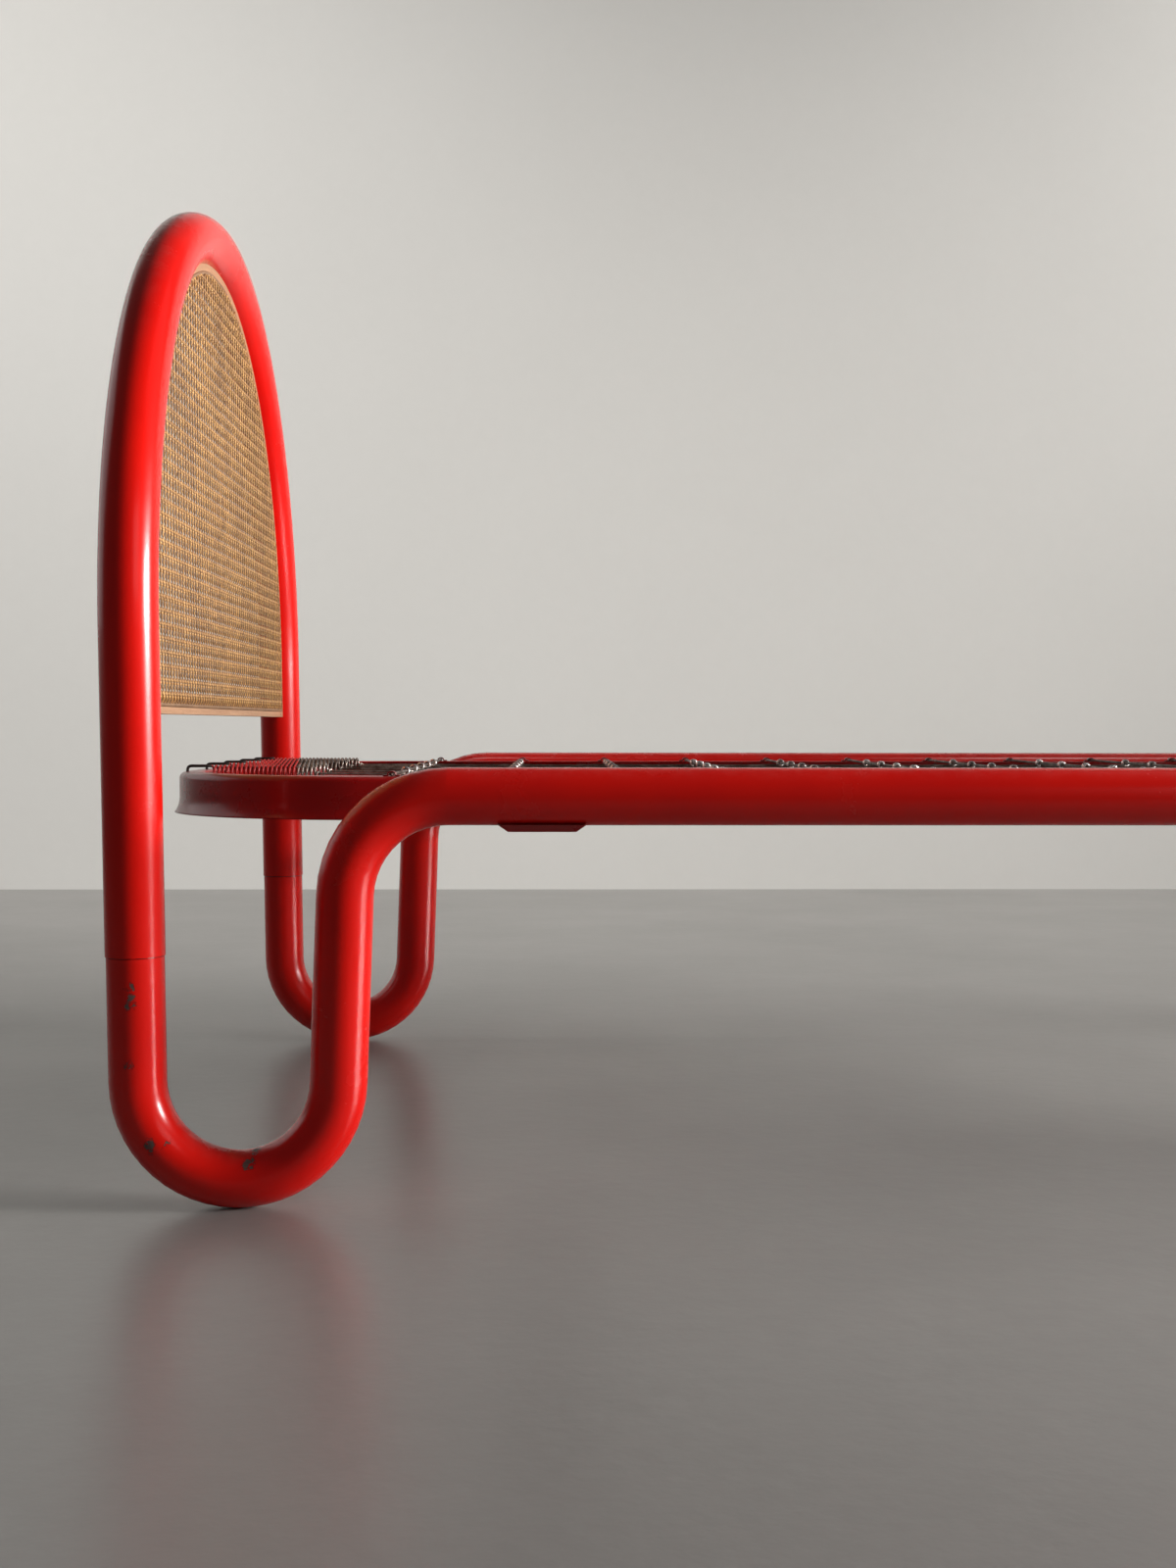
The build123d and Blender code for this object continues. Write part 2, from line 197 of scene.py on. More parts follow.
class Effect:
    """A node group with named inputs and outputs that several finishes share.

    An input without a value is a vector, one with a tuple is a colour, and the rest are numbers.
    """

    title = "effect"
    takes: dict[str, object] = {}
    gives: tuple[str, ...] = ()

    def group(self) -> bpy.types.NodeTree:
        """The group, built the first time that it is asked for.

        Returns:
            The node group.
        """
        known = bpy.data.node_groups.get(self.title)
        if known:
            return known
        tree = bpy.data.node_groups.new(self.title, "ShaderNodeTree")
        for name, value in self.takes.items():
            kind = "Vector" if value is None else "Color" if isinstance(value, tuple) else "Float"
            socket = tree.interface.new_socket(
                name=name, in_out="INPUT", socket_type=f"NodeSocket{kind}"
            )
            if value is not None:
                socket.default_value = value
        for name in self.gives:
            kind = "Color" if name == "Color" else "Float"
            tree.interface.new_socket(name=name, in_out="OUTPUT", socket_type=f"NodeSocket{kind}")
        sheet = Sheet(tree)
        inside = sheet.node("NodeGroupInput")
        outside = sheet.node("NodeGroupOutput")
        sheet.fill(outside, **self.draw(sheet, inside.outputs))
        return tree

    def draw(self, sheet: Sheet, given: Outputs) -> dict[str, Socket]:
        """Draw the group's nodes from its inputs, and give the socket for each named output."""
        raise NotImplementedError

    def use(self, sheet: Sheet, **inputs: object) -> Outputs:
        """Place the group in a material with its inputs, and give its outputs."""
        return sheet.node("ShaderNodeGroup", {"node_tree": self.group()}, **inputs).outputs


class EnamelWear(Effect):
    """Gloss enamel with brushed-on unevenness, small chips down to primer, and rubbed patches."""

    title = "enamel_wear"
    takes = {
        "Vector": None,
        "Paint": (0.6, 0.01, 0.01, 1.0),
        "Deep Paint": (0.4, 0.005, 0.005, 1.0),
        "Primer": (0.05, 0.03, 0.022, 1.0),
        "Spots": 0.0,
        "Chips": 0.3,
        "Smoothness": 0.2,
    }
    gives = ("Color", "Roughness", "Height")
    rubbed_paint: Colour = (0.10, 0.006, 0.006, 1.0)
    primer_speck: Colour = (0.13, 0.10, 0.085, 1.0)

    def draw(self, sheet: Sheet, given: Outputs) -> dict[str, Socket]:
        """Draw the paint, its chips and its sheen.

        Args:
            sheet: The group's own sheet.
            given: The group's inputs.

        Returns:
            Color, Roughness and Height.
        """
        where = given["Vector"]
        broad = sheet.noise(where, 5.0, 4.0)
        cloud = sheet.ramp(broad, 0.35, 0.75)
        coat = sheet.mix(sheet.math("MULTIPLY", cloud, 0.55), given["Paint"], given["Deep Paint"])

        grit = sheet.noise(where, 38.0, 6.0, 0.72)
        scarce = sheet.noise(where, 7.0, 2.0)
        rare = sheet.math("MULTIPLY", sheet.ramp(scarce, 0.55, 0.72), given["Chips"])
        stray = sheet.ramp(sheet.math("MULTIPLY_ADD", rare, 0.16, grit), 0.745, 0.775)
        flakes = sheet.noise(where, 150.0, 5.0, 0.7)
        spot_sum = sheet.math("MULTIPLY_ADD", given["Spots"], 0.34, flakes)
        knocked = sheet.ramp(spot_sum, 0.78, 0.81)
        bare = sheet.math("MAXIMUM", stray, knocked)
        edge = sheet.ramp(spot_sum, 0.70, 0.80)
        rubbed = sheet.mix(sheet.math("MULTIPLY", edge, 0.75), coat, self.rubbed_paint)
        speck = sheet.noise(where, 600.0, 2.0)
        primer = sheet.mix(speck, given["Primer"], self.primer_speck)
        colour = sheet.mix(bare, rubbed, primer)

        smudge = sheet.noise(where, 14.0, 5.0, 0.65)
        sheen = sheet.math("MULTIPLY_ADD", smudge, 0.16, given["Smoothness"])
        dull = sheet.math("MULTIPLY_ADD", bare, 0.4, sheen, clamp=True)
        orange = sheet.noise(where, 260.0, 2.0)
        drawn = sheet.noise(where, 30.0, 2.0)
        skin = sheet.math("MULTIPLY_ADD", orange, 0.12, sheet.math("MULTIPLY", drawn, 0.35))
        height = sheet.math("MULTIPLY_ADD", bare, -1.0, skin)
        return {"Color": colour, "Roughness": dull, "Height": height}


class SettledDust(Effect):
    """Fine pale dust that lies on what faces up."""

    title = "settled_dust"
    takes = {"Vector": None, "Color": (0.5, 0.5, 0.5, 1.0), "Roughness": 0.3, "Amount": 0.2}
    gives = ("Color", "Roughness")
    dust: Colour = (0.62, 0.56, 0.52, 1.0)

    def draw(self, sheet: Sheet, given: Outputs) -> dict[str, Socket]:
        """Draw the dust over a colour and a roughness.

        Args:
            sheet: The group's own sheet.
            given: The group's inputs.

        Returns:
            Color and Roughness.
        """
        facing = sheet.node("ShaderNodeNewGeometry").outputs["Normal"]
        level = sheet.node("ShaderNodeSeparateXYZ", Vector=facing).outputs["Z"]
        lying = sheet.ramp(level, 0.45, 1.0)
        patch = sheet.ramp(sheet.noise(given["Vector"], 45.0, 6.0, 0.7), 0.3, 0.8)
        cover = sheet.math("MULTIPLY", sheet.math("MULTIPLY", lying, patch), given["Amount"])
        colour = sheet.mix(cover, given["Color"], self.dust)
        rough = sheet.math("MULTIPLY_ADD", cover, 0.5, given["Roughness"], clamp=True)
        return {"Color": colour, "Roughness": rough}


class FibreStreaks(Effect):
    """Long fine streaks, pores and tone changes of wood, reed and cane."""

    title = "fibre_streaks"
    takes = {
        "Along": None,
        "Light": (0.6, 0.4, 0.2, 1.0),
        "Dark": (0.3, 0.2, 0.1, 1.0),
        "Contrast": 0.6,
        "Satin": 0.45,
    }
    gives = ("Color", "Roughness", "Height")

    def draw(self, sheet: Sheet, given: Outputs) -> dict[str, Socket]:
        """Draw the streaks.

        Args:
            sheet: The group's own sheet.
            given: The group's inputs; Along runs slowly along the fibre and fast across it.

        Returns:
            Color, Roughness and Height.
        """
        along = given["Along"]
        band = sheet.noise(along, 0.22, 3.0)
        streak = sheet.noise(along, 1.0, 5.0, 0.65)
        pore = sheet.ramp(sheet.noise(along, 3.1, 3.0, 0.6), 0.56, 0.68)
        tone = sheet.math("MULTIPLY_ADD", streak, 0.6, sheet.math("MULTIPLY", band, 0.6))
        depth = sheet.math("MULTIPLY", sheet.ramp(tone, 0.4, 0.8), given["Contrast"])
        body = sheet.mix(depth, given["Light"], given["Dark"])
        dark_pore = sheet.mix(sheet.math("MULTIPLY", pore, 0.35), body, given["Dark"], "MULTIPLY")
        rough = sheet.math("MULTIPLY_ADD", streak, 0.22, given["Satin"], clamp=True)
        height = sheet.math("MULTIPLY_ADD", pore, -0.6, streak)
        return {"Color": dark_pore, "Roughness": rough, "Height": height}


class DrawnMetal(Effect):
    """Drawn steel that has gone dull and brown in places."""

    title = "drawn_metal"
    takes = {
        "Vector": None,
        "Bright": (0.6, 0.58, 0.55, 1.0),
        "Tarnish": (0.12, 0.07, 0.05, 1.0),
        "Age": 0.5,
    }
    gives = ("Color", "Roughness", "Metallic", "Height")

    def draw(self, sheet: Sheet, given: Outputs) -> dict[str, Socket]:
        """Draw the metal.

        Args:
            sheet: The group's own sheet.
            given: The group's inputs.

        Returns:
            Color, Roughness, Metallic and Height.
        """
        where = given["Vector"]
        patch = sheet.noise(where, 55.0, 5.0, 0.7)
        old = sheet.ramp(sheet.math("MULTIPLY_ADD", given["Age"], 0.5, patch), 0.5, 0.95)
        pit = sheet.noise(where, 900.0, 2.0)
        colour = sheet.mix(old, given["Bright"], given["Tarnish"])
        rough = sheet.math("MULTIPLY_ADD", old, 0.3, sheet.math("MULTIPLY_ADD", pit, 0.12, 0.2))
        metallic = sheet.math("MULTIPLY_ADD", old, -0.45, 1.0, clamp=True)
        height = sheet.math("MULTIPLY", pit, old)
        return {"Color": colour, "Roughness": rough, "Metallic": metallic, "Height": height}


# ------------------------------------------------------------------ finishes
PIT_DEPTH = 0.00008
SPRAY_DEPTH = 0.0001
GROUND_DEPTH = 0.0003


@dataclass(frozen=True)
class Finish:
    """One finish, by the name of its material."""

    name: str

    def start(self) -> tuple[Material, Sheet, Node]:
        """An empty material with its shader and output.

        Returns:
            The material, its sheet and its Principled BSDF.
        """
        made = bpy.data.materials.new(self.name)
        made.use_nodes = True
        sheet = Sheet(made.node_tree)
        shader = sheet.node("ShaderNodeBsdfPrincipled")
        out = sheet.node("ShaderNodeOutputMaterial")
        made.node_tree.links.new(shader.outputs[0], out.inputs[0])
        return made, sheet, shader

    def relief(self, sheet: Sheet, shader: Node, height: Socket, depth: float) -> None:
        """Turn a height into the shader's normal; a height of 1 stands for the depth."""
        bump = sheet.node("ShaderNodeBump", Strength=1.0, Distance=depth, Height=height)
        sheet.fill(shader, Normal=bump.outputs[0])

    def make(self) -> Material:
        """Build the material."""
        raise NotImplementedError


@dataclass(frozen=True)
class Knock:
    """A place where the enamel has been knocked or rubbed."""

    place: tuple[float, float, float]
    size: float
    depth: float = 1.0


@dataclass(frozen=True)
class Enamel(Finish):
    """Gloss red enamel."""

    paint: Colour
    deep: Colour
    smoothness: float
    chips: float
    dust: float
    knocks: tuple[Knock, ...] = ()
    coat: float = 0.15
    coat_rough: float = 0.12
    index: float = 1.48
    gloss: float = 0.36
    skin: float = 0.00022

    def spots(self, sheet: Sheet, where: Socket) -> object:
        """A mask that is 1 in the middle of each knock.

        Args:
            sheet: The material's sheet.
            where: Position on the object.

        Returns:
            The mask, or 0.0 where there are no knocks.
        """
        mask: object = 0.0
        for knock in self.knocks:
            gap = sheet.node("ShaderNodeVectorMath", {"operation": "DISTANCE"})
            sheet.feed(gap.inputs[0], where)
            gap.inputs[1].default_value = knock.place
            near = sheet.ramp(gap.outputs["Value"], knock.size, 0.15 * knock.size)
            near = sheet.math("MULTIPLY", near, knock.depth)
            mask = near if isinstance(mask, float) else sheet.math("MAXIMUM", mask, near)
        return mask

    def make(self) -> Material:
        """Build the enamel."""
        made, sheet, shader = self.start()
        where = sheet.place()
        wear = EnamelWear().use(
            sheet,
            Vector=where,
            Paint=self.paint,
            Deep_Paint=self.deep,
            Spots=self.spots(sheet, where),
            Chips=self.chips,
            Smoothness=self.smoothness,
        )
        dusty = SettledDust().use(
            sheet, Vector=where, Color=wear["Color"], Roughness=wear["Roughness"], Amount=self.dust
        )
        sheet.fill(
            shader,
            Base_Color=dusty["Color"],
            Roughness=dusty["Roughness"],
            Coat_Weight=self.coat,
            Coat_Roughness=self.coat_rough,
            IOR=self.index,
            Specular_IOR_Level=self.gloss,
        )
        self.relief(sheet, shader, wear["Height"], self.skin)
        return made


class Grain(Enum):
    """How a piece's fibres run."""

    ACROSS_BED = "across_bed"
    ROUND_ARCH = "round_arch"
    ALONG_STRAND = "along_strand"


@dataclass(frozen=True)
class Fibre(Finish):
    """Wood, reed or cane."""

    light: Colour
    dark: Colour
    grain: Grain
    contrast: float = 0.6
    satin: float = 0.45
    coat: float = 0.0
    centre: tuple[float, float, float] = (0.0, 0.0, 0.0)
    fine: float = 1400.0
    coat_rough: float = 0.25
    pores: float = 0.0001

    def fibre_place(self, sheet: Sheet) -> Socket:
        """A position that runs slowly along the fibre.

        Args:
            sheet: The material's sheet.

        Returns:
            The position.
        """
        if self.grain is Grain.ALONG_STRAND:
            return sheet.stretch(sheet.along(), (60.0, 4.0, 1.0))
        if self.grain is Grain.ACROSS_BED:
            return sheet.stretch(sheet.place(), (self.fine, 18.0, self.fine))
        offset = sheet.node("ShaderNodeVectorMath", {"operation": "SUBTRACT"})
        sheet.feed(offset.inputs[0], sheet.place())
        offset.inputs[1].default_value = self.centre
        x, y, z = sheet.node("ShaderNodeSeparateXYZ", Vector=offset.outputs[0]).outputs
        above = sheet.math("MAXIMUM", z, 0.0)
        below = sheet.math("MINIMUM", z, 0.0)
        squares = sheet.math("MULTIPLY_ADD", y, y, sheet.math("MULTIPLY", above, above))
        radius = sheet.math("SQRT", squares)
        turn = sheet.math("ADD", sheet.math("ARCTAN2", above, y), below)
        scaled = ((x, self.fine), (radius, self.fine), (turn, 7.0))
        made = sheet.node("ShaderNodeCombineXYZ")
        for socket, (value, scale) in zip(made.inputs, scaled):
            sheet.feed(socket, sheet.math("MULTIPLY", value, scale))
        return made.outputs[0]

    def make(self) -> Material:
        """Build the fibre finish."""
        made, sheet, shader = self.start()
        streaks = FibreStreaks().use(
            sheet,
            Along=self.fibre_place(sheet),
            Light=self.light,
            Dark=self.dark,
            Contrast=self.contrast,
            Satin=self.satin,
        )
        patch = sheet.ramp(sheet.noise(sheet.place(), 9.0, 4.0), 0.35, 0.75)
        toned = sheet.mix(sheet.math("MULTIPLY", patch, 0.3), streaks["Color"], self.dark)
        sheet.fill(
            shader,
            Base_Color=toned,
            Roughness=streaks["Roughness"],
            Coat_Weight=self.coat,
            Coat_Roughness=self.coat_rough,
        )
        self.relief(sheet, shader, streaks["Height"], self.pores)
        return made


@dataclass(frozen=True)
class Metal(Finish):
    """Bare or darkened steel."""

    bright: Colour
    tarnish: Colour
    age: float

    def drawn(self, sheet: Sheet) -> Outputs:
        """The drawn steel's colour, roughness, metallic and height."""
        where = sheet.place()
        return DrawnMetal().use(
            sheet, Vector=where, Bright=self.bright, Tarnish=self.tarnish, Age=self.age
        )

    def make(self) -> Material:
        """Build the metal."""
        made, sheet, shader = self.start()
        metal = self.drawn(sheet)
        sheet.fill(
            shader,
            Base_Color=metal["Color"],
            Roughness=metal["Roughness"],
            Metallic=metal["Metallic"],
        )
        self.relief(sheet, shader, metal["Height"], PIT_DEPTH)
        return made


@dataclass(frozen=True)
class OversprayedMetal(Metal):
    """Spring wire that the red spray reached only near the rim."""

    paint: Colour
    deep: Colour
    edge_x: float
    slant: float
    fade: float = 0.004

    def make(self) -> Material:
        """Build the wire and the paint on its outer turns."""
        made, sheet, shader = self.start()
        where = sheet.place()
        metal = self.drawn(sheet)
        wear = EnamelWear().use(
            sheet,
            Vector=where,
            Paint=self.paint,
            Deep_Paint=self.deep,
            Chips=1.0,
            Smoothness=0.22,
        )
        x, y, _ = sheet.node("ShaderNodeSeparateXYZ", Vector=where).outputs
        line = sheet.math("MULTIPLY_ADD", y, -self.slant, sheet.math("ABSOLUTE", x))
        ragged = sheet.math("MULTIPLY_ADD", sheet.noise(where, 120.0, 4.0), 0.012, line)
        painted = sheet.ramp(ragged, self.edge_x, self.edge_x + self.fade)
        bare = sheet.math("SUBTRACT", 1.0, painted)
        sheet.fill(
            shader,
            Base_Color=sheet.mix(painted, metal["Color"], wear["Color"]),
            Roughness=metal["Roughness"],
            Metallic=sheet.math("MULTIPLY", bare, metal["Metallic"]),
        )
        self.relief(sheet, shader, wear["Height"], SPRAY_DEPTH)
        return made


@dataclass(frozen=True)
class Ground(Finish):
    """Matt to satin mineral surface of the floor and the wall."""

    light: Colour
    dark: Colour
    rough: float
    scale: float
    one_sided: bool = False

    def make(self) -> Material:
        """Build the surface."""
        made, sheet, shader = self.start()
        where = sheet.place()
        cloud = sheet.noise(where, self.scale, 7.0, 0.62)
        fine = sheet.noise(where, 40.0 * self.scale)
        tone = sheet.math("MULTIPLY_ADD", fine, 0.25, sheet.math("MULTIPLY", cloud, 0.75))
        sheet.fill(
            shader,
            Base_Color=sheet.mix(tone, self.light, self.dark),
            Roughness=sheet.math("MULTIPLY_ADD", cloud, 0.25, self.rough, clamp=True),
        )
        self.relief(sheet, shader, fine, GROUND_DEPTH)
        if self.one_sided:
            clear = sheet.node("ShaderNodeBsdfTransparent")
            behind = sheet.node("ShaderNodeNewGeometry").outputs["Backfacing"]
            both = sheet.node("ShaderNodeMixShader", Fac=behind)
            sheet.feed(both.inputs[1], shader.outputs[0])
            sheet.feed(both.inputs[2], clear.outputs[0])
            out = next(n for n in sheet.tree.nodes if n.bl_idname == "ShaderNodeOutputMaterial")
            sheet.fill(out, Surface=both.outputs[0])
        return made


# ------------------------------------------------------------------ mesh building blocks
@dataclass
class Stock:
    """Rings of vertices and their faces, gathered for one piece."""

    points: list[Array] = field(default_factory=list)
    places: list[Array] = field(default_factory=list)
    corners: list[Array] = field(default_factory=list)
    sizes: list[Array] = field(default_factory=list)
    finishes: list[Array] = field(default_factory=list)
    count: int = 0

    def rings(self, rings: Array, run: Array, finish: int = 0, loop: bool = False) -> None:
        """Join rings of vertices into one skin.

        Args:
            rings: Vertices as rings, points, 3.
            run: Length along the piece at each ring.
            finish: Number of the material.
            loop: Whether the last ring joins the first; otherwise both ends are capped.
        """
        n, m = rings.shape[:2]
        ids = self.count + np.arange(n * m).reshape(n, m)
        here = np.concatenate((ids, ids[:1])) if loop else ids
        nxt = np.roll(here, -1, axis=1)
        quads = np.stack((here[:-1], nxt[:-1], nxt[1:], here[1:]), axis=-1).reshape(-1, 4)
        self.points.append(rings.reshape(-1, 3))
        across = np.broadcast_to(np.arange(m) / m, (n, m))
        lengths = np.broadcast_to(run[:, None], (n, m))
        self.places.append(np.stack((lengths, across), axis=-1).reshape(-1, 2))
        self.corners.append(quads.ravel())
        self.sizes.append(np.full(len(quads), 4))
        faces = len(quads)
        if not loop:
            self.corners.append(ids[0][::-1].copy())
            self.corners.append(ids[-1].copy())
            self.sizes.append(np.array((m, m)))
            faces += 2
        self.finishes.append(np.full(faces, finish))
        self.count += n * m

    def piece(self, name: str, materials: Sequence[Material]) -> Piece:
        """Make the object.

        Args:
            name: The piece's name.
            materials: Its materials, in the order of the finish numbers.

        Returns:
            The new object.
        """
        mesh = bpy.data.meshes.new(name)
        corners = np.concatenate(self.corners).astype(np.int32)
        sizes = np.concatenate(self.sizes).astype(np.int32)
        starts = np.concatenate(((0,), np.cumsum(sizes)[:-1])).astype(np.int32)
        mesh.vertices.add(self.count)
        mesh.vertices.foreach_set("co", np.concatenate(self.points).astype(np.float32).ravel())
        mesh.loops.add(len(corners))
        mesh.loops.foreach_set("vertex_index", corners)
        mesh.polygons.add(len(sizes))
        mesh.polygons.foreach_set("loop_start", starts)
        mesh.polygons.foreach_set("material_index", np.concatenate(self.finishes).astype(np.int32))
        mesh.polygons.foreach_set("use_smooth", np.ones(len(sizes), bool))
        places = np.concatenate(self.places)[corners].astype(np.float32)
        mesh.uv_layers.new(name="along").data.foreach_set("uv", places.ravel())
        for material in materials:
            mesh.materials.append(material)
        mesh.update(calc_edges=True)
        mesh.validate()
        made = bpy.data.objects.new(name, mesh)
        bpy.context.scene.collection.objects.link(made)
        LOG.info("piece %s: %d triangles", name, int((sizes - 2).sum()))
        return made


def points(x: object, y: object, z: object) -> Array:
    """Points from their coordinates, any of which may be one number for all."""
    return np.stack(np.broadcast_arrays(x, y, z), axis=-1)


def unit(ways: Array) -> Array:
    """Each direction at a length of 1."""
    return ways / np.linalg.norm(ways, axis=-1, keepdims=True)


def round_section(radius: float, sides: int = 10) -> Array:
    """A circle's points as offsets across and up."""
    turn = np.linspace(0.0, 2 * math.pi, sides, endpoint=False)
    return radius * np.stack((np.cos(turn), np.sin(turn)), axis=-1)


def travel(path: Array) -> Array:
    """Length along a path at each of its points."""
    steps = np.linalg.norm(np.diff(path, axis=0), axis=1)
    return np.concatenate(((0.0,), np.cumsum(steps)))


def ringed(path: Array, section: Array, across: Array, up: Array) -> Array:
    """Place a section round each point of a path.

    Args:
        path: The points of the path.
        section: Offsets across and up.
        across: The across direction, one for all of the points or one for each.
        up: The up direction, likewise.

    Returns:
        The rings.
    """
    across, up = (np.broadcast_to(way, path.shape)[:, None, :] for way in (across, up))
    return path[:, None, :] + section[:, 0, None] * across + section[:, 1, None] * up


def sweep(
    stock: Stock, path: Array, section: Array, hint: Array = ACROSS, finish: int = 0
) -> None:
    """Sweep a section along a path without twist.

    Args:
        stock: Where the skin goes.
        path: The points of the path.
        section: Offsets across and up.
        hint: Roughly the across direction at the start.
        finish: Number of the material.
    """
    tangents = unit(np.gradient(path, axis=0))
    across = np.zeros_like(path)
    side = hint
    for i, tangent in enumerate(tangents):
        side = unit(side - tangent * (side @ tangent))
        across[i] = side
    rings = ringed(path, section, across, np.cross(tangents, across))
    stock.rings(rings, travel(path), finish)


def softened(corners: Sequence[Sequence[float]], radius: float, steps: int) -> Array:
    """A polyline with its inner corners rounded.

    Args:
        corners: The polyline's points.
        radius: How far before and after a corner its rounding reaches.
        steps: Points on each rounding.

    Returns:
        The path's points.
    """
    pts = np.array(corners, float)
    path = [pts[0]]
    for before, here, after in zip(pts, pts[1:], pts[2:]):
        back, ahead = before - here, after - here
        near = min(radius, 0.49 * np.linalg.norm(back), 0.49 * np.linalg.norm(ahead))
        a, b = here + unit(back) * near, here + unit(ahead) * near
        for t in np.linspace(0.0, 1.0, steps):
            path.append((1 - t) ** 2 * a + 2 * t * (1 - t) * here + t**2 * b)
    return np.array((*path, pts[-1]))


# ------------------------------------------------------------------ arches and cane panels
@dataclass(frozen=True)
class ArchPlane:
    """The leaning plane of one arch: across the bed, up the legs, and towards the bed's middle."""

    end: End
    foot_x: float
    lean: float = math.radians(0.81)

    @classmethod
    def of(cls, end: End, bottom: float, front: float) -> "ArchPlane":
        """Find the plane from where the cane sheet lies.

        Args:
            end: Which end.
            bottom: The sheet's lower edge, along the plane.
            front: The sheet's front face, out from the plane.

        Returns:
            The plane.
        """
        low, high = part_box(f"{end.value}_cane_sheet")
        lean = cls.lean
        if end is End.HEAD:
            return cls(end, high.x + bottom * math.sin(lean) - front * math.cos(lean))
        return cls(end, low.x - bottom * math.sin(lean) + front * math.cos(lean))

    @property
    def normal(self) -> Array:
        """Direction from the plane towards the bed's middle."""
        return np.array((-self.end.outward * math.cos(self.lean), 0.0, math.sin(self.lean)))

    @property
    def rise(self) -> Array:
        """Direction up the legs."""
        return np.array((self.end.outward * math.sin(self.lean), 0.0, math.cos(self.lean)))

    def at(self, across: Array, up: Array, out: Array) -> Array:
        """Points of the plane in the row frame.

        Args:
            across: Across the bed, along +Y.
            up: Up the legs.
            out: Out of the plane, towards the bed's middle.

        Returns:
            The points.
        """
        across, up, out = (v[..., None] for v in np.broadcast_arrays(across, up, out))
        start = np.array((self.foot_x, 0.0, 0.0))
        return start + across * ACROSS + up * self.rise + out * self.normal


class StrandSet(Enum):
    """The four sets of strands in six-way cane: value is the direction in the sheet."""

    UPRIGHTS = (0.0, 1.0)
    LEVELS = (1.0, 0.0)
    RISING = (1.0, 1.0)
    FALLING = (1.0, -1.0)

    @property
    def slanting(self) -> bool:
        """Whether the strands run across the holes."""
        return all(self.value)


